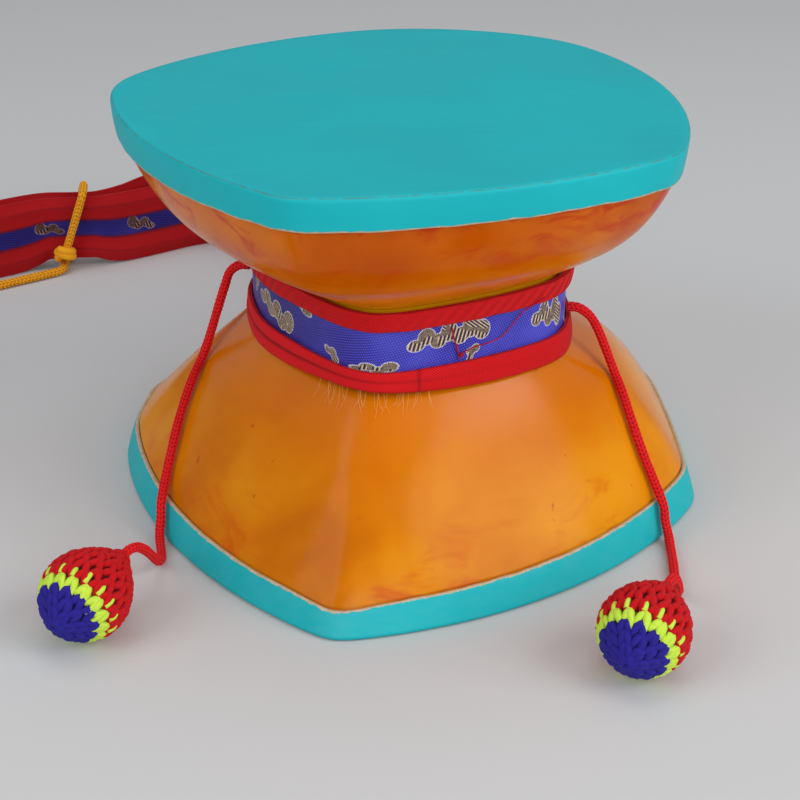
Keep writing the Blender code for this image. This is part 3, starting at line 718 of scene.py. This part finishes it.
def petal_field(x, y, figures):
    """Distance into the nearest figure in mm (negative outside).  A figure is a row of
    overlapping rounded petals on a tilted line, with a scrolled tip at each end."""
    best = np.full(np.broadcast(x, y).shape, -9.0)
    for fx, fy, length, height, tilt, petals in figures:
        c, s = math.cos(rad(tilt)), math.sin(rad(tilt))
        u, v = (x - fx) * c + (y - fy) * s, -(x - fx) * s + (y - fy) * c
        for k in range(petals):
            f = (k + 0.5) / petals * 2.0 - 1.0
            size = height * (0.30 + 0.24 * (k + 0.5) / petals) * (1.0 if k % 2 else 0.80)
            wide = length / petals * 0.78
            cv = height * (0.16 if k % 2 else -0.12)
            r = np.hypot((u - f * length / 2.0) / wide, (v - cv) / size)
            best = np.maximum(best, (1.0 - r) * min(wide, size))
    return best


def band_pieces():
    start = front_corner(WAIST) + math.pi
    t = start + np.linspace(0.0, TAU, 900, endpoint=False)
    along = arc_mm(t)
    total = along[-1] + (along[-1] - along[-2])
    where = lambda deg: float(np.interp((rad(deg) - start) % TAU, t - start, along))
    figures = [(where(f[0]),) + f[1:] for f in FIGURES]
    figures += [(f[0] - total,) + f[1:] for f in figures] + [(f[0] + total,) + f[1:] for f in figures]

    low, high = TAPE_LOW + 2.6, TAPE_HIGH - 1.2
    rows, alongs, acrosses, marks, painted_shades = [], [], [], [], []
    levels = np.linspace(low, high, 46)
    # painted shade: the band's left side is darkened, where less light falls on it
    painted_shade = 0.95 * bump_at(t, 205.0, 42.0)
    for z in levels:
        pucker = 0.10 * soft_noise(along / 5.0, z / 5.0 + 0.0 * t, 61) * math.sin(math.pi * (z - low) / (high - low))
        rows.append(waist_ring(pucker, z, t))
        alongs.append(along)
        acrosses.append(z + 0.0 * t)
        marks.append(petal_field(along, z + 0.0 * t, figures))
        painted_shades.append(painted_shade)
    rows += [waist_ring(-BAND_THICK, high, t), waist_ring(-BAND_THICK, low, t)]
    for _ in range(2):
        alongs.append(along), acrosses.append(0.0 * t), marks.append(-9.0 + 0.0 * t), painted_shades.append(painted_shade)
    obj = grid_piece("brocade_band", np.array(rows), BLUE,
                     {"along": np.array(alongs), "across": np.array(acrosses), "figure": np.array(marks), "painted_shade": np.array(painted_shades)},
                     closed_rows=True, sharp=60.0)
    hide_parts("waist_band")

    lift, at, wide = TAPE_LIFT
    foot = TAPE_LOW + lift * bump_at(t, at, wide)
    tape_piece("twill_tape_lower", RED_LOW, "waist_binding_lower", t, along, foot, BLUE_LOW + 0.0 * t, TAPE_FLARE, GAP + TAPE_THICK,
               71, lean=1.15, left=True)
    tape_piece("twill_tape_upper", RED_HIGH, "waist_binding_upper", t, along, BLUE_HIGH + 0.0 * t, TAPE_HIGH + 0.0 * t, GAP + TAPE_THICK,
               TAPE_FLARE, 83, lean=-0.9, left=False)


def tape_piece(name, mat, node, t, along, low, high, out_low, out_high, seed, lean, left):
    """A folded twill tape: rounded folds along both edges, ribs, small puckers, and the
    overlap of its two ends at the seam."""
    rows, alongs, acrosses, crease_shades, smooths = [], [], [], [], []
    seam = bump_at(t, 275.3, 0.55)
    lap = (0.24 if left else 0.0) * (np.mod(t - rad(275.3) + math.pi, TAU) - math.pi > 0.0) * bump_at(t, 278.0, 5.5)
    smooth_part = np.clip(bump_at(t, 205.0, 62.0) * 1.15, 0.0, 1.0) if left else 0.0 * t
    outer = 26
    for i in range(outer + 1):
        s = i / outer
        z = low + (high - low) * s
        body = out_low + (out_high - out_low) * s
        fold = 0.26 * (1.0 - math.exp(-(s / 0.09) ** 2) - math.exp(-((1.0 - s) / 0.09) ** 2))
        pucker = 0.09 * soft_noise(along / 3.4, z / 3.0, seed) + 0.10 * loop_noise(t, seed + 3, 4, 30) * math.sin(math.pi * s)
        ribs = 0.05 * np.sin(TAU / 0.66 * (along + lean * z)) * (1.0 - 0.7 * smooth_part) * math.sin(math.pi * s) ** 0.3
        middle = math.exp(-((s - 0.52) / 0.07) ** 2)
        groove = 0.30 * middle * smooth_part
        out = body - 0.2 + fold + pucker + ribs + lap * math.sin(math.pi * s) ** 0.5 - groove
        z = z + 0.12 * loop_noise(t, seed + 7, 6, 40) * (abs(s - 0.5) * 2.0) ** 3
        rows.append(waist_ring(out, z, t))
        alongs.append(along), acrosses.append(z)
        # painted shade mask: the middle crease of the smooth part, the seam's overlap on the lower tape and the folded
        # edges
        crease_shades.append(np.clip(0.85 * middle * smooth_part + (0.55 * seam if left else 0.0) + 0.5 * (s < 0.03) + 0.4 * (s > 0.97), 0.0, 1.0))
        smooths.append(smooth_part)
    back_low = GAP if out_low < out_high or node.endswith("upper") else out_low - TAPE_THICK
    for level, o in ((high - 0.1, GAP), ((low + high) / 2.0, GAP + 0.1), (low + 0.1, max(back_low, GAP))):
        rows.append(waist_ring(o, level, t))
        alongs.append(along), acrosses.append(level + 0.0 * t), crease_shades.append(0.0 * t), smooths.append(smooth_part)
    obj = grid_piece(name, np.array(rows), mat,
                     {"along": np.array(alongs), "across": np.array(acrosses), "crease_shade": np.array(crease_shades),
                      "smooth_part": np.array(smooths)}, closed_rows=True, sharp=70.0)
    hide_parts(node)
    return obj


band_pieces()


# ============================================================ routes of the cords, as in the CAD (mm)
def smooth_through(points, spacing):
    pts = [Vector(p) for p in points]
    pts = [pts[0] * 2.0 - pts[1]] + pts + [pts[-1] * 2.0 - pts[-2]]
    dense = []
    for i in range(1, len(pts) - 2):
        p0, p1, p2, p3 = pts[i - 1], pts[i], pts[i + 1], pts[i + 2]
        a, b, c = ((p1 - p0).length ** 0.5, (p2 - p1).length ** 0.5, (p3 - p2).length ** 0.5)
        m1 = (p2 - p1) - (p2 - p0) * (b / (a + b)) + (p1 - p0) * (b / a)
        m2 = (p2 - p1) - (p3 - p1) * (b / (b + c)) + (p3 - p2) * (b / c)
        for j in range(24):
            t = j / 24.0
            dense.append(p1 * (2 * t ** 3 - 3 * t ** 2 + 1) + m1 * (t ** 3 - 2 * t ** 2 + t)
                         + p2 * (-2 * t ** 3 + 3 * t ** 2) + m2 * (t ** 3 - t ** 2))
    dense.append(pts[-2])
    total = sum((q - p).length for p, q in zip(dense, dense[1:]))
    count = max(4, int(round(total / spacing)))
    out, walked, k = [dense[0]], 0.0, 0
    for i in range(1, count):
        goal = total * i / count
        while walked + (dense[k + 1] - dense[k]).length < goal:
            walked += (dense[k + 1] - dense[k]).length
            k += 1
        step = (dense[k + 1] - dense[k]).length
        out.append(dense[k].lerp(dense[k + 1], (goal - walked) / step))
    out.append(dense[-1])
    return out


def waist_point(at_deg, out, level):
    t = rad(at_deg)
    r = float(plan(WAIST, t)) + out
    return Vector((WAIST_AXIS[0] + r * math.cos(t), WAIST_AXIS[1] + r * math.sin(t), level))


def over_bowl(at_deg, u, lift):
    t, e = rad(at_deg), 1e-3
    at = lambda a, b: Vector(LOWER.point(a, b))
    side = at(t + e, u) - at(t - e, u)
    down = at(t, min(u + e, 1.0)) - at(t, u - e)
    normal = side.cross(down)
    normal.normalize()
    if normal.z < 0.0:
        normal.negate()
    return at(t, u) + normal * lift


def beside_skirt(at_deg, depth, lift):
    t = rad(at_deg)
    r = float(LOWER.skin_radius(t, depth)) + lift
    return Vector((r * math.cos(t), r * math.sin(t), depth))


LIFT = CORD / 2.0 + GAP
FLOOR = CORD / 2.0 + 0.05


def left_direction(u):
    return 202.8 - 62.6 * max(0.97 - u, 0.0) ** 1.3


def right_direction(u):
    return 337.8 + 12.2 * (max(0.92 - u, 0.0) / 0.56) ** 2.4


def beater_axis(place):
    h, e = rad(place["heading"]), rad(BEATER_TILT)
    return Vector((math.cos(h) * math.cos(e), math.sin(h) * math.cos(e), math.sin(e)))


def beater_radius(s):
    s = min(max(s, 0.0), 1.0)
    return BEATER_WIDE / 2.0 * max(math.sin(math.pi * s ** 1.22) ** 0.62, 0.0)


def beater_centre(place):
    axis = beater_axis(place)
    flat = math.sqrt(1.0 - axis.z ** 2)
    low = min((s - 0.5) * BEATER_LONG * axis.z - beater_radius(s) * flat for s in [i / 200.0 for i in range(201)])
    return Vector((place["x"], place["y"], 0.05 - low))


def beater_pole(place):
    return beater_centre(place) - beater_axis(place) * (BEATER_LONG * 0.48 + GAP + 0.1)


def rise_to(place, come_from):
    pole = beater_pole(place)
    here = pole - beater_axis(place) * 2.4
    points, steps, top = [pole, here.copy()], 6, here.z
    for i in range(steps):
        s, e = (i + 0.5) / steps, (i + 1.0) / steps
        h = rad(place["heading"] + (come_from - place["heading"]) * s * s * (3.0 - 2.0 * s))
        here = here - Vector((math.cos(h), math.sin(h), 0.0)) * (RISE_RUN / steps)
        here.z = FLOOR + (top - FLOOR) * (0.5 + 0.5 * math.cos(math.pi * e))
        points.append(here.copy())
    return points[::-1]


def cord_left_route():
    pts = [waist_point(168.0, GAP + 0.4, 55.7), waist_point(168.0, 3.2, 55.5), waist_point(167.8, 5.7, 53.6),
           waist_point(167.5, 7.3, 49.6)]
    for u in (0.36, 0.46, 0.56, 0.66, 0.76, 0.86):
        pts.append(over_bowl(left_direction(u), u, LIFT + 0.15))
    pts += [beside_skirt(204.4, 8.2, LIFT + 0.6), beside_skirt(206.5, 5.0, LIFT + 0.6)]
    pts += [Vector((-57.6, -31.7, 2.4))]
    return pts + rise_to(BEATER_LEFT, -92.0)


def cord_right_route():
    pts = [waist_point(348.5, GAP + 0.45, 51.3), waist_point(348.8, 3.3, 51.0), waist_point(350.0, 6.0, 48.8),
           waist_point(351.5, 8.0, 45.2)]
    for u in (0.36, 0.46, 0.56, 0.66, 0.76, 0.86):
        pts.append(over_bowl(right_direction(u), u, LIFT + 0.15))
    pts += [beside_skirt(336.0, 8.2, LIFT + 0.6), beside_skirt(335.2, 5.0, LIFT + 0.6)]
    pts += [Vector((64.3, -31.0, 2.3)), Vector((64.3, -35.5, FLOOR)), Vector((64.0, -42.0, FLOOR)),
            Vector((63.5, -49.0, FLOOR))]
    return pts + rise_to(BEATER_RIGHT, -95.0)


RISE = ((0.2, 48.0, 51.5), (-0.6, 58.0, 47.0), (-1.6, 68.0, 38.7), (-2.8, 78.0, 28.7), (-4.2, 88.0, 19.4),
        (-6.6, 98.0, 13.8), (-11.5, 112.0, 12.1))
FRONT_LEG = ((-20.0, 133.0), (-33.0, 155.0), (-47.0, 171.0), (-60.0, 176.5), (-69.0, 174.0), (-84.0, 163.5),
             (-94.0, 157.0), (-101.0, 153.6), (-109.0, 152.8), (-118.0, 151.0), (-128.0, 145.0), (-140.0, 136.5),
             (-152.0, 129.0))
TURN_BACK = ((-159.5, 125.4), (-162.0, 127.6), (-160.2, 130.4))
REAR_LEG = ((-152.0, 135.0), (-140.0, 142.8), (-128.0, 151.3), (-118.0, 156.6), (-109.0, 157.6), (-101.0, 158.6),
            (-93.5, 165.0), (-86.0, 176.0), (-74.0, 186.0), (-58.0, 186.0), (-42.0, 176.0), (-27.0, 158.0),
            (-13.5, 133.0))
LEVEL = 0.1 + RIBBON / 2.0


def strap_route():
    back = waist_point(90.0, TAPE_FLARE + GAP, 53.4)
    pts = [Vector((back.x - 0.6, back.y, 53.4))] + [Vector(p) for p in RISE]
    pts += [Vector((x, y, LEVEL)) for x, y in FRONT_LEG + TURN_BACK + REAR_LEG]
    pts += [Vector((x + 4.6, y + 1.0, z)) for x, y, z in reversed(RISE)]
    return pts + [Vector((back.x + 4.2, back.y - 0.1, 53.4))]


def tie_route():
    front = smooth_through([Vector((x, y, 0.0)) for x, y in FRONT_LEG], 0.5)
    rear = smooth_through([Vector((x, y, 0.0)) for x, y in REAR_LEG], 0.5)
    near = min(range(len(front)), key=lambda i: abs(front[i].x - TIE_AT))
    here = front[near]
    run = (front[near + 1] - front[near - 1]).normalized()
    across = Vector((run.y, -run.x, 0.0))
    if across.y > 0.0:
        across.negate()
    back = min(rear, key=lambda q: abs((q - here).dot(run)))
    bundle = (here - back).dot(across) + RIBBON_THICK
    out = bundle / 2.0 + TIE / 2.0 + 0.9
    low, high = TIE / 2.0 + 0.06, RIBBON + 0.1 + TIE / 2.0 + 0.6
    turn = TIE / 2.0 + 0.6
    base = (here + back) / 2.0
    loop = [(out, 6.0)]
    for cx, cz, first in ((out - turn, high - turn, 0.0), (turn - out, high - turn, 90.0),
                          (turn - out, low + turn, 180.0)):
        loop += [(cx + turn * math.cos(math.radians(first + d)), cz + turn * math.sin(math.radians(first + d)))
                 for d in (0.0, 30.0, 60.0, 90.0)]
    loop += [(0.0, low), (out * 0.8, low), (out + 3.4, low)]
    pts = []
    for o, level in loop:
        lean = 3.4 - 8.6 * (level - low) / (high - low) if o > 0.0 else -5.2 + 6.4 * (high - level) / (high - low)
        if level <= low + 0.01:
            lean = 1.2 + 1.6 * (o + out) / (2.0 * out)
        pts.append(base + across * o + run * lean + Vector((0.0, 0.0, level)))
    end = pts[-1]
    pts += [end + Vector((-5.4, -4.6, 0.0)), end + Vector((-15.0, -11.5, 0.0)),
            end + Vector((-26.0, -19.5, 0.0)), end + Vector((-35.0, -30.0, 0.0))]
    return pts


# ============================================================ cords
def frames_along(points):
    """Points and two steady side directions along a route, as arrays."""
    p = np.array([tuple(q) for q in points])
    d = np.gradient(p, axis=0)
    d /= np.linalg.norm(d, axis=1)[:, None]
    side = np.cross(d[0], (0.0, 0.0, 1.0))
    if np.linalg.norm(side) < 0.1:
        side = np.cross(d[0], (0.0, 1.0, 0.0))
    out = []
    for k in d:
        side = side - k * np.dot(side, k)
        side = side / np.linalg.norm(side)
        out.append(side.copy())
    u = np.array(out)
    return p, d, u, np.cross(d, u)


def plait(s, phi, pitch, columns):
    """Height 0-1 of a round braid at length s (mm) and angle phi: slanting plaits in columns
    that lean by turns to the left and right, so that each pair makes a row of Vs."""
    f = phi / TAU * columns
    c = np.floor(f + 1e-9)
    x = f - c
    sign = np.where(np.mod(c, 2) < 0.5, 1.0, -1.0)
    phase = s / pitch + sign * 0.62 * (x - 0.5)
    a = np.abs(np.cos(math.pi * phase)) ** 0.55
    b = np.sin(math.pi * np.clip(x, 0.02, 0.98)) ** 0.42
    return a * b


def braided(name, route, diameter, mat, node, slot, pitch, columns=8, sides=48, step=0.16, depth=0.24, **cord):
    pts = smooth_through(route, step)
    p, d, u, v = frames_along(pts)
    s = np.concatenate([[0.0], np.cumsum(np.linalg.norm(np.diff(p, axis=0), axis=1))])
    phi = np.linspace(0.0, TAU, sides, endpoint=False)
    S, P = np.meshgrid(s, phi, indexing="ij")
    h = plait(S, P, pitch, columns)
    loose = 1.0 + 0.02 * np.sin(S / 2.1 + 1.3) + 0.015 * np.sin(S / 0.9 + P * 2.0)
    radius = diameter / 2.0 * (1.0 - depth * (1.0 - h)) * loose
    grid = p[:, None, :] + radius[..., None] * (np.cos(P)[..., None] * u[:, None, :] + np.sin(P)[..., None] * v[:, None, :])
    # top: the plait's height, which the yarn material turns into painted shade in the grooves
    obj = grid_piece(name, grid, mat, {"top": h}, caps=True)
    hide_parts(node)
    path = [tuple(np.array(tuple(q)) * MM) for q in smooth_through(route, diameter * 2.0)]
    return obj, pts


# ============================================================ beaters: crocheted in rounds
def tube_mesh(points, radius, sides):
    """Vertices and faces of a capped tube with a radius at each point."""
    p, d, u, v = frames_along(points)
    phi = np.linspace(0.0, TAU, sides, endpoint=False)
    r = np.asarray(radius, float) + np.zeros(len(p))
    ring = p[:, None, :] + r[:, None, None] * (np.cos(phi)[None, :, None] * u[:, None, :] + np.sin(phi)[None, :, None] * v[:, None, :])
    faces = lattice(len(p), sides)
    faces.append(tuple(reversed(range(sides))))
    faces.append(tuple(range((len(p) - 1) * sides, len(p) * sides)))
    return ring.reshape(-1, 3), faces


def crocheted(name, place, seed, node):
    """A ball of stitches: each round is a row of V-shaped stitches of plump yarn over an inner
    ball in the darkest colours of the yarns, painted shade in the gaps.  Red at the cord end, then a yellow-green round
    with fingers, then navy."""
    axis, centre = beater_axis(place), beater_centre(place)
    across = axis.cross(Vector((0.0, 0.0, 1.0))).normalized()
    up = across.cross(axis).normalized()
    A, X, Y, C = (np.array(tuple(w)) for w in (axis, across, up, centre))
    rng = np.random.RandomState(seed)
    verts, faces, hues, tops = [], [], [], []
    count = 0

    def place_at(s, ang, out):
        return C + A * ((s - 0.5) * BEATER_LONG) + (X * math.cos(ang) + Y * math.sin(ang)) * out

    def add(points, radius, sides, hue, centre_line=None):
        nonlocal count
        v, f = tube_mesh(points, radius, sides)
        verts.append(v)
        faces.extend([tuple(i + count for i in q) for q in f])
        count += len(v)
        hues.append(np.full(len(v), float(hue)))
        rel = v - C
        along = rel @ A
        dist = np.linalg.norm(rel - along[:, None] * A, axis=1)
        full = np.array([beater_radius(a / BEATER_LONG + 0.5) for a in along])
        # top: height over the ball's surface, which the crochet material turns into painted shade low down
        tops.append(np.clip((dist - (full - 1.75)) / 1.35, 0.0, 1.0))

    # inner ball
    rows, sides = 22, 40
    inner = []
    for i in range(rows + 1):
        s = 0.04 + 0.92 * (0.5 - 0.5 * math.cos(math.pi * i / rows))
        inner.append([place_at(s, TAU * j / sides, max(beater_radius(s) - 1.10, 0.25)) for j in range(sides)])
    v = np.array(inner).reshape(-1, 3)
    verts.append(v)
    f = lattice(rows + 1, sides)
    f.append(tuple(reversed(range(sides))))
    f.append(tuple(range(rows * sides, (rows + 1) * sides)))
    faces.extend(f)
    count += len(v)
    depth = (v - C) @ A / BEATER_LONG + 0.5
    hues.append(np.where(depth > 0.80, 2.0, np.where(depth > 0.70, 1.0, 0.0)))
    # painted shade: the inner ball takes the darkest colour of each yarn
    tops.append(np.zeros(len(v)))

    # rounds, evenly spaced along the ball's outline
    fine = np.linspace(0.0, 1.0, 400)
    out = np.array([[s * BEATER_LONG, beater_radius(s)] for s in fine])
    run = np.concatenate([[0.0], np.cumsum(np.linalg.norm(np.diff(out, axis=0), axis=1))])
    rounds = 14
    edges = np.interp(np.linspace(0.8, run[-1] - 0.8, rounds + 1), run, fine)
    yarn = 0.86
    for k in range(rounds):
        lo, hi = edges[k], edges[k + 1]
        mid = (lo + hi) / 2.0
        r = beater_radius(mid)
        n = int(max(6, min(16, round(TAU * r / 3.7))))
        hue = 0.0 if mid < 0.66 else (1.0 if mid < 0.765 else 2.0)
        twist = k * 0.42
        for j in range(n):
            a0 = TAU * (j + twist) / n + rng.normal() * 0.02
            w = TAU / n
            for side in (-1.0, 1.0):
                pts = []
                for q in np.linspace(0.0, 1.0, 7):
                    s = hi + (lo - hi) * (q * 1.30 - 0.15) + rng.normal() * 0.0016
                    ang = a0 + side * w * (0.09 + 0.40 * q ** 0.8)
                    rise = beater_radius(min(max(s, 0.01), 0.99)) - yarn - 0.44 + 0.46 * math.sin(math.pi * min(max(q, 0.0), 1.0))
                    pts.append(Vector(place_at(s, ang, max(rise, 0.15))))
                thick = yarn * (1.0 + rng.normal() * 0.05) * (0.82 + 0.25 * np.sin(math.pi * np.linspace(0.0, 1.0, 7)))
                add(pts, thick, 8, hue)
    # fingers of the yellow-green round: short ones up over the red, slanting ones down over the navy
    ring_at = 0.715
    n = 16
    for j in range(n):
        a0 = TAU * (j + 0.3) / n + rng.normal() * 0.03
        for up_way, length, slant, r0 in ((-1.0, 2.6, 0.02, 0.62), (1.0, 3.1, 0.16, 0.66)):
            length = length * (1.0 + rng.normal() * 0.12)
            pts = []
            for q in np.linspace(0.0, 1.0, 6):
                s = ring_at + up_way * (0.2 + q * length) / BEATER_LONG
                ang = a0 + (0.10 if up_way > 0 else 0.0) + slant * q * up_way
                pts.append(Vector(place_at(s, ang, beater_radius(s) - r0 + 0.10 * math.sin(math.pi * q) - 0.30 * q ** 3)))
            add(pts, r0 * np.array([1.0, 1.02, 1.0, 0.95, 0.8, 0.45]), 8, 1.0)
    # the fastening round where the cord goes in
    for j in range(6):
        a0 = TAU * j / 6.0
        pts = [Vector(place_at(0.035 + 0.004 * math.sin(q * math.pi), a0 + (q - 0.5) * 1.2, 1.9)) for q in np.linspace(0.0, 1.0, 6)]
        add(pts, 0.7, 8, 0.0)
    v = np.concatenate(verts)
    v[:, 2] = np.maximum(v[:, 2], 0.03)
    obj = finish_mesh(name, v, faces, CROCHET, {"hue": np.concatenate(hues), "top": np.concatenate(tops)})
    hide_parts(node)
    return obj


BALL_LEFT = crocheted("crochet_ball_left", BEATER_LEFT, 5, "beater_left")
BALL_RIGHT = crocheted("crochet_ball_right", BEATER_RIGHT, 9, "beater_right")
braided("braided_cord_left", cord_left_route(), CORD, RED_CORD, "cord_left", "red_cord", 1.12, far_end="fitting",
        with_pieces=[BALL_LEFT])
braided("braided_cord_right", cord_right_route(), CORD, RED_CORD, "cord_right", "red_cord", 1.12, far_end="fitting",
        with_pieces=[BALL_RIGHT])


# ============================================================ hand strap
STRAP_FIGURES_EVERY = 31.0      # mm between the brocade's figures along the strap


def strap_piece():
    """The ribbon on edge: a blue middle between two plump red edges, creased lengthwise and
    gathered a little under the tie."""
    path = smooth_through(strap_route(), 1.0)
    p = np.array([tuple(q) for q in path])
    flat = np.gradient(p, axis=0)
    flat[:, 2] = 0.0
    flat /= np.linalg.norm(flat, axis=1)[:, None]
    side = np.stack([-flat[:, 1], flat[:, 0], 0.0 * flat[:, 0]], -1)
    s = np.concatenate([[0.0], np.cumsum(np.linalg.norm(np.diff(p, axis=0), axis=1))])
    last = s[-1]
    near_end = np.minimum(s, last - s)
    wide = RIBBON * np.minimum(1.0, 0.62 + 0.38 * near_end / 36.8)
    on_floor = p[:, 2] < LEVEL + 0.3
    tied = np.exp(-((p[:, 0] - TIE_AT) / 9.5) ** 2)
    low = np.where(on_floor, 0.1 + (TIE + 0.4) * np.minimum(1.0, 1.9 * tied), p[:, 2] - wide / 2.0)
    top = np.where(on_floor, 0.1 + RIBBON, p[:, 2] + wide / 2.0)

    # cross-section: across the width (0 at the lower edge to 1) and stand-off from the middle sheet
    def half_thick(w):
        piping = np.exp(-((w - 0.16) / 0.085) ** 2) + np.exp(-((w - 0.84) / 0.085) ** 2)
        roll = np.exp(-(w / 0.05) ** 2) + np.exp(-((1.0 - w) / 0.05) ** 2)
        return RIBBON_THICK / 2.0 * (0.76 + 0.80 * piping - 0.30 * roll)

    w = 0.5 - 0.5 * np.cos(np.linspace(0.0, math.pi, 34))
    w = 0.5 * w + 0.5 * np.linspace(0.0, 1.0, 34)
    loop_w = np.concatenate([w, w[::-1]])
    loop_o = np.concatenate([half_thick(w), -half_thick(w)])
    S, W = np.meshgrid(s, loop_w, indexing="ij")
    _, O = np.meshgrid(s, loop_o, indexing="ij")
    crumple = np.exp(-((p[:, 0] - TIE_AT) / 22.0) ** 2)[:, None]
    wave = 0.42 * np.sin(W * 9.0 + S / 31.0 + 0.6) * (0.35 + 0.9 * crumple) + 0.16 * soft_noise(S / 9.0, W * 3.0, 97)
    dent = -0.55 * np.exp(-((W - 0.52) / 0.10) ** 2) * crumple * np.sign(O)
    squeeze = 1.0 - 0.36 * np.exp(-((p[:, 0] - TIE_AT) / 4.0) ** 2)[:, None]
    O = O * squeeze + wave * 0.55 + dent * 0.4
    Z = low[:, None] + (top - low)[:, None] * W + 0.18 * soft_noise(S / 14.0, W * 2.0, 103) * (W > 0.9)
    Z = np.maximum(Z, 0.05)
    grid = np.stack([p[:, 0][:, None] + side[:, 0][:, None] * O, p[:, 1][:, None] + side[:, 1][:, None] * O, Z], -1)
    middle = (W - 0.5) * RIBBON
    x = np.mod(S, STRAP_FIGURES_EVERY)
    figure = petal_field(x, middle, [(STRAP_FIGURES_EVERY * 0.5, 0.0, 9.0, 4.2, 12.0, 4)])
    # painted shade along the creases beside the blue middle and beside the piping
    crease_shade = 0.75 * np.exp(-((np.abs(middle) - 3.2) / 0.30) ** 2) + 0.5 * np.exp(-((np.abs(middle) - 8.0) / 0.28) ** 2) * (0.3 + crumple)
    obj = grid_piece("brocade_strap", grid, STRAP,
                     {"along": S, "across": middle + 20.0, "from_middle": middle, "figure": figure, "crease_shade": np.clip(crease_shade, 0.0, 1.0)},
                     caps=True, sharp=70.0)
    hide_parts("hand_strap")
    return obj


strap_piece()


# ============================================================ the yellow tie and its knot
def knot_piece():
    """Two snug turns of the cord low on the front of the strap, where the tail leaves."""
    route = smooth_through(tie_route(), 0.5)
    here = min(route[:60], key=lambda q: abs(q.z - 4.6))
    run = Vector((-0.93, 0.36, 0.0)).normalized()
    up = Vector((0.0, 0.0, 1.0))
    out = run.cross(up)
    if out.y > 0.0:
        out.negate()
    verts, faces, tops, count = [], [], [], 0
    pts = []
    for i in range(64):
        a = TAU * 2.0 * i / 63.0 + 0.4
        lift = (i / 63.0 - 0.5) * 3.4
        pts.append(here + out * (2.1 * math.cos(a) + 0.3) + run * (2.5 * math.sin(a)) + up * (lift + 0.35 * math.sin(a + 1.0)))
    v, f = tube_mesh(pts, TIE / 2.0 * 0.92, 12)
    v[:, 2] = np.maximum(v[:, 2], 0.04)
    obj = finish_mesh("tie_knot", v, f, YELLOW, {"top": np.full(len(v), 0.7)})
    return obj


KNOT = knot_piece()
braided("yellow_tie", tie_route(), TIE, YELLOW, "strap_tie", "yellow_cord", 1.3, far_end="bare", with_pieces=[KNOT])


# ============================================================ thread, stitch and hairs
def fibre(name, route, radius, mat, slot, spacing=0.5, taper=False):
    pts = smooth_through(route, spacing)
    r = radius * (np.linspace(1.0, 0.35, len(pts)) if taper else np.ones(len(pts)))
    v, f = tube_mesh(pts, r, 6)
    obj = finish_mesh(name, v, f, mat, {"top": np.full(len(v), 0.6)})
    return obj


fibre("loose_thread", [waist_point(290.9, 0.55, 50.6), waist_point(294.6, 0.9, 51.8), waist_point(302.8, 0.8, 52.2),
                       waist_point(306.5, 0.7, 52.7), waist_point(311.1, 0.8, 55.0), waist_point(314.8, 0.9, 57.4),
                       waist_point(319.3, 1.9, 59.4), waist_point(323.0, 2.3, 60.4)], 0.14, THREAD, "red_twill")
fibre("red_stitch", [waist_point(287.2, 0.42, 57.4), waist_point(287.9, 0.5, 55.0), waist_point(289.2, 0.5, 52.4),
                     waist_point(290.2, 0.45, 49.4)], 0.20, THREAD, "red_twill")
fibre("thread_knot", [waist_point(290.6, 0.5, 50.9), waist_point(291.5, 0.9, 50.6), waist_point(290.9, 0.7, 50.1),
                      waist_point(290.2, 0.9, 50.5), waist_point(291.2, 0.8, 50.9)], 0.22, THREAD, "red_twill", spacing=0.25)


def hairs():
    """Fine hairs that stick out from under the lower tape over the front of the bowl."""
    rng = np.random.RandomState(19)
    verts, faces, count = [], [], 0
    for k in range(30):
        at = 242.0 + 40.0 * (k + rng.uniform(-1.6, 1.6)) / 30.0
        reach = rng.uniform(0.03, 0.10)
        start = waist_point(at, 1.1, TAPE_LOW + TAPE_LIFT[0] * math.exp(-((at - TAPE_LIFT[1]) / TAPE_LIFT[2]) ** 2) + 0.1)
        drift = rng.uniform(-2.6, 2.6)
        pts = [start] + [over_bowl(at + drift * q, 0.02 + reach * q, 0.25 + rng.uniform(0.0, 0.35)) for q in (0.4, 0.75, 1.0)]
        line = smooth_through(pts, 0.8)
        v, f = tube_mesh(line, 0.019 * np.linspace(1.0, 0.5, len(line)), 5)
        verts.append(v)
        faces.extend([tuple(i + count for i in q) for q in f])
        count += len(v)
    v = np.concatenate(verts)
    obj = finish_mesh("band_hairs", v, faces, HAIR, {"top": np.full(len(v), 0.6)})


hairs()
